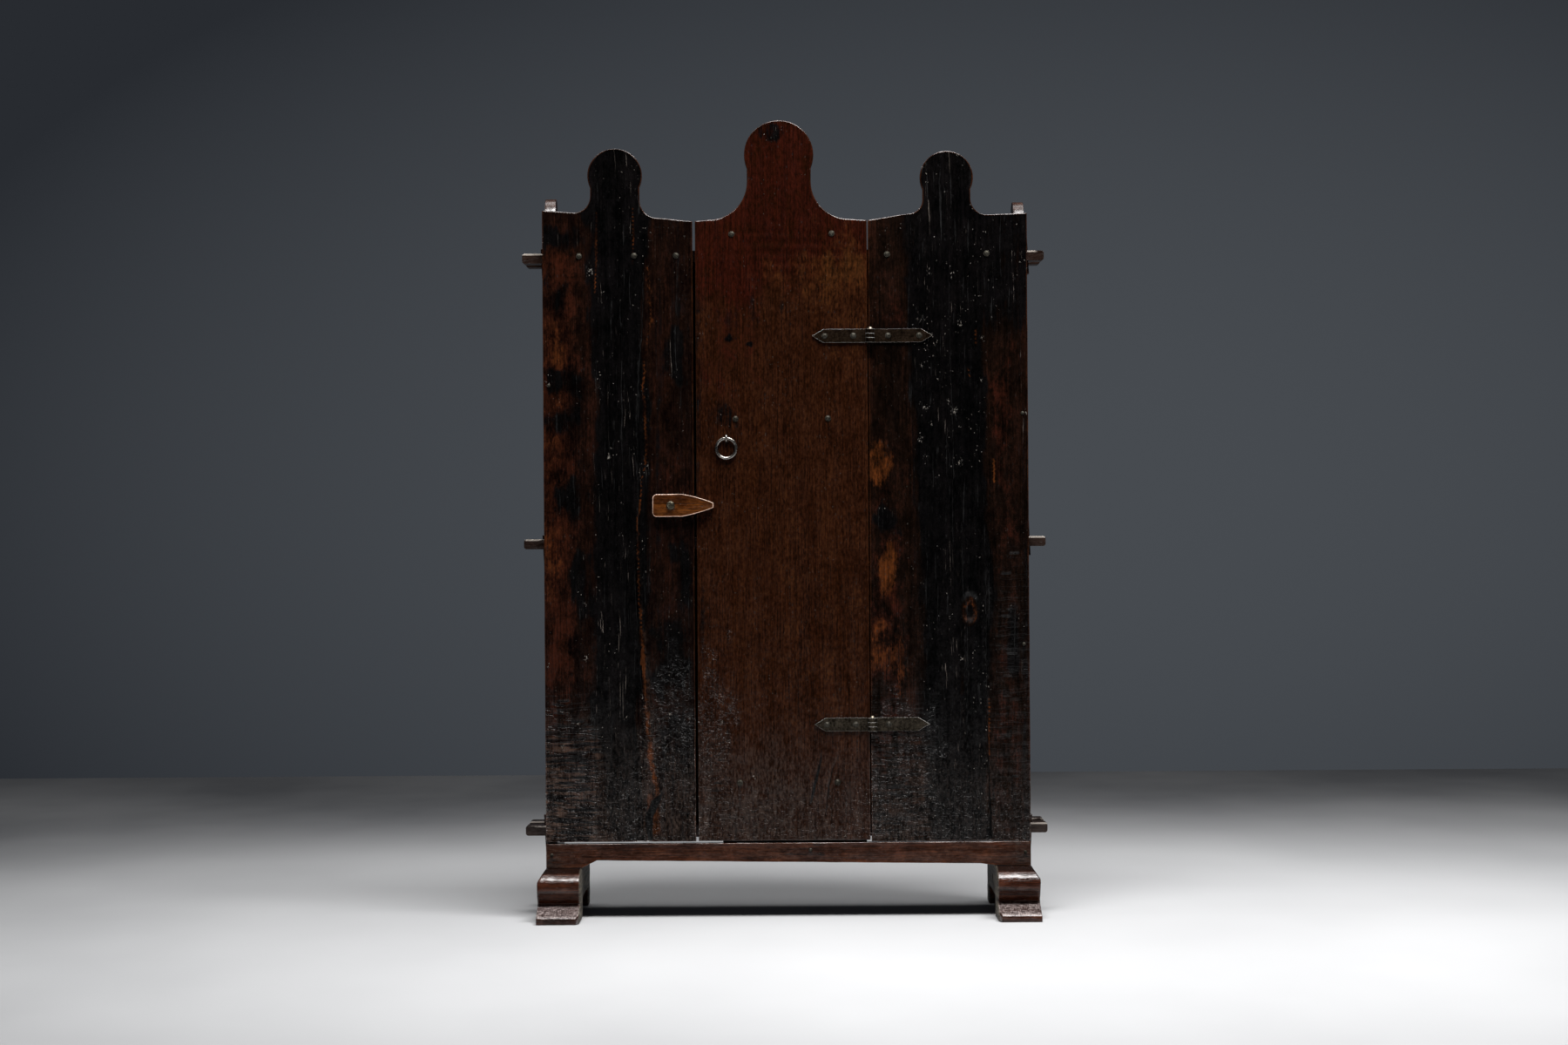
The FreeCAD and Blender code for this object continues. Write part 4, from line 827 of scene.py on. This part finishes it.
RIGHT_HONEY = [(0.7, 0.138, 0.680, 0.020, 0.060), (0.8, 0.144, 0.515, 0.024, 0.050),
               (0.45, 0.145, 0.40, 0.035, 0.07), (0.4, 0.262, 0.30, 0.008, 0.10)]


def glint(spots, u, v):
    return max(fall(math.hypot((u - x) * 1.2, (v - z) * 0.8), r * 0.3, r * 1.1) for x, z, r in spots)


def crack_depth(lines, u, v):
    depth = 0
    for line in lines:
        if line[0][0] <= v <= line[-1][0]:
            centre, half, deep = line_at(line, v)
            centre += 0.0012 * wobble(v * 90, centre * 10, 4.4)
            depth = max(depth, deep * fall(abs(u - centre), half * 0.2, half * 1.2))
    return depth


def scoops(u, v, wide, tall, seed):
    """Hollows left by an adze: 1 at the ridges between them and 0 at their bottoms."""
    near = noise.voronoi(Vector((u / wide, v / tall, seed)))[0]
    return min(near[0] / 0.75, 1.0) ** 2


def patch(u, v, centre, size, wander=0.7):
    """1 in the middle of an uneven patch and 0 outside it."""
    u += 0.010 * cloud(u * 16, v * 10, centre[1] * 30)
    far = math.hypot((u - centre[0]) / size[0], (v - centre[1]) / size[1])
    return fall(far + wander * cloud(u * 45, v * 20, centre[0] * 50, 5), 0.25, 1.25)


def weighted(patches, u, v):
    return [share * patch(u, v, (x, z), (wide, tall)) for share, x, z, wide, tall in patches]


def heartwood(edges, fade, u, v):
    """1 in the black heartwood between its two edges."""
    left, right = (line_at(edge, v)[0] for edge in edges)
    return smooth(u, left - 0.022, left + 0.016) * fall(u, right - fade[0], right + fade[1])


def on_slivers(slivers, u, v):
    light = 0.0
    for sliver in slivers:
        if sliver[0][0] < v < sliver[-1][0]:
            centre, half = line_at(sliver, v)
            light = max(light, fall(abs(u - centre), half * 0.5, half * 1.5))
    return light


def left_relief(u, v):
    depth = 0.0005 * (1 + cloud(u * 9, v * 4, 1.3))
    tooled = fall(u, -0.29, -0.265) * fall(v, 0.24, 0.33)
    depth += tooled * 0.0006 * (1 - scoops(u + 0.02 * wobble(u * 20, v * 30), v, 0.028, 0.009, 2.0))
    low = fall(v, 0.20, 0.36)
    depth += low * 0.0010 * (1 - scoops(u, v, 0.05, 0.05, 9.0))
    nibbled = patch(u, v, (-0.175, 0.27), (0.035, 0.075))
    depth += nibbled * 0.0007 * (1 - scoops(u, v, 0.006, 0.009, 5.0))
    depth += 0.003 * patch(u, v, (-0.212, 0.155), (0.016, 0.035))
    heart = smooth(u, -0.29, -0.275) * fall(u, -0.215, -0.205)
    depth += heart * 0.0004 * (1 + wobble(u * 160, v * 7, 6.0))
    return depth + max(crack_depth(LEFT_CRACKS, u, v), gash_depth(LEFT_GASHES, u, v))


def left_paint(u, v):
    wander = 0.014 * cloud(u * 4, v * 5, 8.0) + 0.008 * cloud(u * 30, v * 14, 2.0)
    dark = heartwood(LEFT_HEART, (0.010, 0.014), u + wander, v)
    dark = max(dark, smooth(v, 1.05, 1.09) * 0.8, *weighted(LEFT_DARK, u, v))
    dark = max(dark, 0.36 * smooth(u, -0.215, -0.19))
    sap, half = line_at(SAP_LINE, v)
    sap += 0.002 * cloud(v * 45, 1.0, 3.0)
    half *= 1 + 0.8 * cloud(v * 35, 4.0, 5.0)
    along = smooth(v, 0.12, 0.14) * fall(v, 0.97, 0.99)
    on_line = fall(abs(u - sap + half * 0.4), half * 0.4, half * 1.2) * along
    beside = fall(abs(u - sap - half * 0.7), half * 0.5, half * 1.6) * along
    warm = 0.8 * fall(u, -0.335, -0.29) * fall(v, 0.98, 1.05) * smooth(v, 0.25, 0.40)
    warm += sum(weighted(LEFT_WARM, u, v))
    honey = 0.55 * fall(u, -0.345, -0.315) * smooth(v, 0.40, 0.60)
    honey *= 0.7 + cloud(u * 14, v * 7, 11.0)
    honey *= fall(v, 0.85, 0.95)
    broken = (0.95 + 0.6 * cloud(u * 60, v * 25, 17.0)) * (1 - 0.45 * smooth(v, 0.50, 0.66))
    pocket = min(1.0, 1.6 * patch(u, v, (-0.205, 0.154), (0.013, 0.032), 0.25))
    honey = max(honey, 1.2 * on_line * broken, 0.45 * beside, 1.3 * pocket)
    light = on_slivers(LEFT_SLIVERS, u, v)
    honey = max(honey, 1.1 * light * (0.8 + cloud(u * 60, v * 30, 31.0)))
    scraped = patch(u, v, (-0.176, 0.141), (0.032, 0.026), 0.3)
    grey = 0.9 * fall(v + 0.9 * wander, 0.14, 0.34) * (1 - 0.5 * smooth(dark, 0.4, 0.9))
    grey = max(grey * 0.8, scraped, 0.5 * beside * fall(v, 0.3, 0.6))
    return {
        "dark": max(0.0, dark * (1 - on_line) * (1 - pocket) * (1 - 0.8 * light)),
        "warm": max(0.0, warm - dark * 0.5),
        "honey": max(0.0, honey - dark * 0.5 * (1 - on_line)),
        "grey": grey * (1 - on_line) * (1 - 0.8 * pocket),
        "hewn": fall(u + wander, -0.29, -0.26) * fall(v + wander, 0.24, 0.36),
        "pecked": (1 - scraped) * max(patch(u, v, (-0.175, 0.27), (0.04, 0.10)),
                                      0.4 * fall(v + wander, 0.16, 0.26)),
        "sunk": min(1.0, crack_depth(LEFT_CRACKS, u, v) / 0.0025 + gash_depth(LEFT_GASHES, u, v) / 0.0005),
        "glint": glint(LEFT_GLINTS, u, v),
    }


def door_relief(u, v):
    depth = 0.0004 * (1 + cloud(u * 8, v * 3.5, 21.3))
    tooled = fall(v, 0.17, 0.30) * fall(u, -0.07, 0.02)
    depth += tooled * 0.0007 * (1 - scoops(u, v, 0.022, 0.016, 12.0))
    depth += fall(v, 0.15, 0.26) * 0.0005 * (1 - scoops(u, v, 0.05, 0.035, 19.0))
    planed = patch(u, v, (0.02, 0.985), (0.11, 0.05))
    depth += planed * 0.0004 * (1 + math.sin(v * 420 + 2 * wobble(u * 8, v * 8, 5.5)))
    return depth + max(crack_depth(DOOR_CRACKS, u, v), gash_depth(DOOR_GASHES, u, v))


def door_paint(u, v):
    dark = max(0.0, *weighted(DOOR_DARK, u, v))
    left = fall(u + 0.02 * cloud(u * 9, v * 6, 3.7), -0.136, -0.105)
    dark = max(dark, 0.5 * left * smooth(v, 0.2, 0.4) * fall(v, 0.9, 0.97))
    warm = 0.95 * smooth(v + 0.04 * cloud(u * 7, v * 7, 9.9), 0.90, 1.00)
    warm += 0.5 * patch(u, v, (-0.08, 0.86), (0.06, 0.12))
    honey = sum(weighted(DOOR_HONEY, u, v))
    grey = fall(v + 0.03 * cloud(u * 9, v * 9, 6.1), 0.14, 0.34) * (0.8 - 0.4 * smooth(u, 0.0, 0.1))
    return {
        "dark": dark, "warm": warm, "honey": honey, "grey": grey,
        "hewn": 0.15 * fall(v, 0.15, 0.24) * (1 - 0.6 * smooth(u, -0.05, 0.03)),
        "pecked": 0.6 * patch(u, v, (-0.115, 0.25), (0.035, 0.14)) + 0.2 * fall(v, 0.15, 0.25),
        "sunk": min(1.0, crack_depth(DOOR_CRACKS, u, v) / 0.002 + gash_depth(DOOR_GASHES, u, v) / 0.0007),
        "glint": glint(DOOR_GLINTS, u, v),
    }


def from_knot(u, v):
    """How far a place is from the knot's middle, with 1 at its rim."""
    return math.hypot((u - 0.273) / 0.011, (v - 0.456) / 0.021)


def right_relief(u, v):
    depth = 0.0005 * (1 + cloud(u * 9, v * 4, 41.3))
    strip = smooth(u, 0.295, 0.315) * fall(v, 0.45, 0.6)
    depth += strip * 0.0004 * (1 - scoops(u + 0.02 * wobble(u * 20, v * 30), v, 0.030, 0.010, 42.0))
    low = fall(u, 0.19, 0.22) * fall(v, 0.27, 0.36)
    depth += low * 0.0006 * (1 - scoops(u, v, 0.035, 0.014, 43.0))
    heart = smooth(u, 0.195, 0.21) * fall(u, 0.295, 0.31)
    depth += heart * 0.0005 * (1 + wobble(u * 170, v * 6, 46.0))
    knot = from_knot(u, v)
    depth += 0.0018 * smooth(knot, 0.5, 0.9) * fall(knot, 1.0, 1.5)
    return depth + max(crack_depth(RIGHT_CRACKS, u, v), gash_depth(RIGHT_GASHES, u, v))


def right_paint(u, v):
    wander = 0.014 * cloud(u * 4, v * 5, 48.0) + 0.008 * cloud(u * 30, v * 14, 42.0)
    dark = heartwood(RIGHT_HEART, (0.012, 0.018), u + wander, v)
    upper = smooth(v + 2 * wander, 0.82, 0.92) * smooth(u + wander, 0.165, 0.195)
    dark = max(dark, smooth(v, 1.05, 1.09) * 0.9, 0.7 * upper, 0.45 * smooth(u + 0.4 * wander, 0.340, 0.354),
               *weighted(RIGHT_DARK, u, v))
    warm = sum(weighted(RIGHT_WARM, u, v))
    honey = sum(weighted(RIGHT_HONEY, u, v))
    knot = from_knot(u, v)
    ring = smooth(knot, 0.3, 0.6) * fall(knot, 0.9, 1.25)
    honey = max(honey, ring * (0.35 + 0.6 * cloud(u * 90, v * 60, 90.0)))
    honey = max(honey, 1.1 * on_slivers(RIGHT_SLIVERS, u, v))
    grey = fall(v + wander, 0.14, 0.30) * (0.45 - 0.20 * smooth(dark, 0.4, 0.9))
    grey *= 1 - 0.5 * smooth(u, 0.29, 0.32)
    return {
        "dark": dark * (1 - 0.8 * ring) * (1 - min(honey, 1.0) * 0.6),
        "warm": warm, "honey": honey, "grey": grey,
        "hewn": max(0.16 * smooth(u + wander, 0.295, 0.325) * fall(v, 0.42, 0.6),
                    0.5 * fall(u, 0.2, 0.23) * fall(v, 0.22, 0.36)),
        "pecked": 0.5 * patch(u, v, (0.17, 0.22), (0.06, 0.10)) + 0.3 * fall(v + wander, 0.14, 0.24),
        "sunk": min(1.0, crack_depth(RIGHT_CRACKS, u, v) / 0.0025 + gash_depth(RIGHT_GASHES, u, v) / 0.0006),
        "glint": glint(RIGHT_GLINTS, u, v),
    }


for name, body, *looks in (
        ("left_front_plank", "carcass", left_wood, left_relief, left_paint, LEFT_CRACKS, LEFT_GASHES),
        ("door_plank", "door", door_wood, door_relief, door_paint, DOOR_CRACKS, DOOR_GASHES),
        ("right_front_plank", "carcass", right_wood, right_relief, right_paint, RIGHT_CRACKS, RIGHT_GASHES)):
    wood, relief, paint, cracks, gashes = looks
    make_board(name, body, FRONT, wood, step=0.0034, roll=0.0022, relief=relief, paint=paint,
               lines=cracks, extra=gash_spots(gashes))


# The other boards


def side_paint(u, v):
    return {
        "dark": 0.75 * smooth(cloud(u * 12, v * 2.5, 61.0), 0.0, 0.5),
        "warm": 0.6 * smooth(cloud(u * 14, v * 4, 66.0), 0.05, 0.6),
        "grey": 0.6 * fall(v, 0.08, 0.3),
    }


def apron_relief(u, v):
    return 0.0005 * (1 + cloud(u * 8, v * 20, 71.0)) + 0.0006 * (1 - scoops(u, v, 0.04, 0.02, 72.0))


def apron_paint(u, v):
    ends = max(fall(u, -0.350, -0.315), smooth(u, 0.315, 0.345))
    return {
        "dark": 0.4 * ends + 0.5 * patch(u, v, (0.03, 0.10), (0.05, 0.012)),
        "warm": 0.5 * smooth(cloud(u * 9, v * 40, 76.0), 0.0, 0.5),
        "grey": 0.5 * ends,
    }


make_board("left_side", "carcass", LEFT, side_wood, step=0.005, paint=side_paint, roll=0.0015)
make_board("right_side", "carcass", RIGHT, side_wood, step=0.005, paint=side_paint, roll=0.0015)
make_board("apron", "carcass", FRONT, apron_wood, step=0.004, relief=apron_relief, paint=apron_paint)
for place in ("left", "middle", "right"):
    make_board("back_plank_" + place, "carcass", BACK, back_wood, step=0.007, back_step=0.010)
for place in ("top", "middle", "bottom"):
    make_board("door_batten_" + place, "door", BACK, shelf_wood, step=0.005, roll=0.0025)
make_board("door_stop", "carcass", BACK, shelf_wood, step=0.005)
make_board("turn_button", "turn_button", FRONT, button_wood, step=0.0015, back_step=0.003, roll=0.0013)


# CAD nodes that keep their shape, worn by modifiers


def add_modifier(piece, kind, **settings):
    modifier = piece.modifiers.new(kind.lower(), kind)
    for key, setting in settings.items():
        setattr(modifier, key, setting)
    return modifier


def worn_noise(name, size):
    texture = bpy.data.textures.new(name, "CLOUDS")
    texture.noise_scale = size
    texture.noise_depth = 2
    return texture


WORN = worn_noise("worn", 0.018)
HAMMERED = worn_noise("hammered", 0.006)


def dressed(name, *materials):
    """A CAD node with only these materials and with its doubled points welded."""
    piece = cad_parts[name]
    piece.data.materials.clear()
    for material in materials:
        piece.data.materials.append(material)
    add_modifier(piece, "WELD", merge_threshold=TOUCHING)
    return piece


def worn(name, material, voxel, wear, texture, rounds=4):
    """Rebuilds a CAD node's skin in small faces, rounds its edges and makes it slightly uneven."""
    piece = dressed(name, material)
    add_modifier(piece, "REMESH", mode="VOXEL", voxel_size=voxel, use_smooth_shade=True)
    add_modifier(piece, "SMOOTH", factor=0.5, iterations=rounds)
    add_modifier(piece, "DISPLACE", texture=texture, strength=wear, mid_level=0.95,
                 texture_coords="LOCAL")


def bevelled(name, material, width=0.0008, rubbed=None):
    """Rounds a CAD node's sharp edges, and gives them the material of rubbed edges where there is one; on
    the straps that material also carries a painted highlight.
    """
    piece = dressed(name, *filter(None, (material, rubbed)))
    add_modifier(piece, "DECIMATE", decimate_type="DISSOLVE", angle_limit=math.radians(1))
    add_modifier(piece, "BEVEL", width=width, segments=2, limit_method="ANGLE",
                 angle_limit=math.radians(40), material=1 if rubbed else -1)
    piece.data.shade_smooth()
    add_modifier(piece, "WEIGHTED_NORMAL", keep_sharp=False)


for side in ("left", "right"):
    worn(side + "_foot", foot_wood, 0.0018, 0.0012, WORN)
    for level in ("top", "middle", "bottom"):
        for place in ("front", "rear"):
            worn("wedge_%s_%s_%s" % (side, level, place), wedge_wood, 0.0011, 0.0008, WORN, 3)
for level in ("top", "middle", "bottom"):
    bevelled(level + "_shelf", shelf_wood, 0.0026)
bevelled("foot_pegs", foot_wood)
for level in ("upper", "lower"):
    for place in ("frame", "door"):
        # The straps' edges get the rubbed iron with its painted highlight
        bevelled("%s_%s_strap" % (level, place), strap_iron if level == "upper" else pale_strap_iron, 0.0011,
                 rubbed_and_highlit_iron)
    bevelled(level + "_hinge_pin", pin_iron, 0.0004)
for name in ("ring_staple", "pull_ring"):
    bevelled(name, bright_iron, 0.0003)
bevelled("turn_button_screw", brass, 0.0004, worn_brass)
for name in ("front_nails", "door_nails", "door_strap_nails", "frame_strap_nails", "back_nails"):
    worn(name, nail_iron, 0.0005, 0.0010, HAMMERED, 2)


# Studio: pale floor and dark backdrop, both with a painted pool of light, soft lamps and the photograph's
# camera


FLOOR_REACH = 12
FLOOR_END = 3.092
LENS_MM = 84.62
SENSOR_MM = 36
CAMERA_PLACE = (-0.0035, -5.570, 0.590)
CAMERA_ROLL = math.radians(0.38)
# Each lamp's name, place, the point that it looks at, its width and length, and its power in watts
LAMPS = [
    ("overhead_softbox", (0.4, -1.25, 3.6), (0.1, -0.2, 0.3), (2.4, 1.2), 300),
    ("rear_softbox", (0.0, 1.25, 4.2), (0.0, 1.0, 0.0), (3.2, 1.0), 46),
    ("left_fill", (-1.9, 0.1, 3.6), (-0.2, 0.0, 0.5), (1.0, 1.0), 20),
    ("right_fill", (1.9, 0.1, 3.6), (0.2, 0.0, 0.5), (1.0, 1.0), 32),
]


def make_floor():
    mesh = bpy.data.meshes.new("floor")
    rows = ((-1, -FLOOR_REACH), (1, -FLOOR_REACH), (1, FLOOR_END), (-1, FLOOR_END))
    corners = [(side * FLOOR_REACH, y, 0) for side, y in rows]
    mesh.from_pydata(corners, [], [(0, 1, 2, 3)])
    floor = add_object("floor", mesh)
    # Near and far floor colours: the fade between them is a painted pool of light
    mesh.materials.append(paper("floor_paper", (172, 172, 173), (50, 51, 53)))


def make_backdrop():
    """The far wall is the world: a dark blue-grey, with a painted pool of light that makes it lighter behind
    the cabinet.
    """
    world = bpy.data.worlds.new("backdrop")
    bpy.context.scene.world = world
    s = Shader(world, "Background", "Generated")
    x, y, z = (s.axis(s.place, index) for index in range(3))
    ahead = s.math("MAXIMUM", y, 0.05)
    across = s.math("SUBTRACT", s.math("DIVIDE", x, ahead), 0.075)
    up = s.math("MULTIPLY", s.math("SUBTRACT", s.math("DIVIDE", z, ahead), 0.01), 1.9)
    far = s.math("ADD", s.math("MULTIPLY", across, across), s.math("MULTIPLY", up, up))
    # Painted pool of light on the backdrop
    glow = s.math("SUBTRACT", 1.0, s.math("DIVIDE", far, 0.11), clamp=True)
    s.finish(Color=s.mix(glow, (40, 43, 48), (71, 75, 80)))


def make_lamp(name, place, target, size, power):
    light = bpy.data.lights.new(name, "AREA")
    light.shape = "RECTANGLE"
    light.size, light.size_y = size
    light.energy = power
    lamp = add_object(name, light)
    lamp.location = place
    lamp.rotation_euler = (Vector(target) - Vector(place)).to_track_quat("-Z", "Y").to_euler()


def make_camera():
    data = bpy.data.cameras.new("camera")
    data.lens = LENS_MM
    data.sensor_width = SENSOR_MM
    camera = add_object("camera", data)
    camera.location = CAMERA_PLACE
    camera.rotation_euler = (math.pi / 2, CAMERA_ROLL, 0)
    bpy.context.scene.camera = camera


make_floor()
make_backdrop()
for lamp in LAMPS:
    make_lamp(*lamp)
make_camera()
bpy.context.scene.view_settings.view_transform = "Standard"
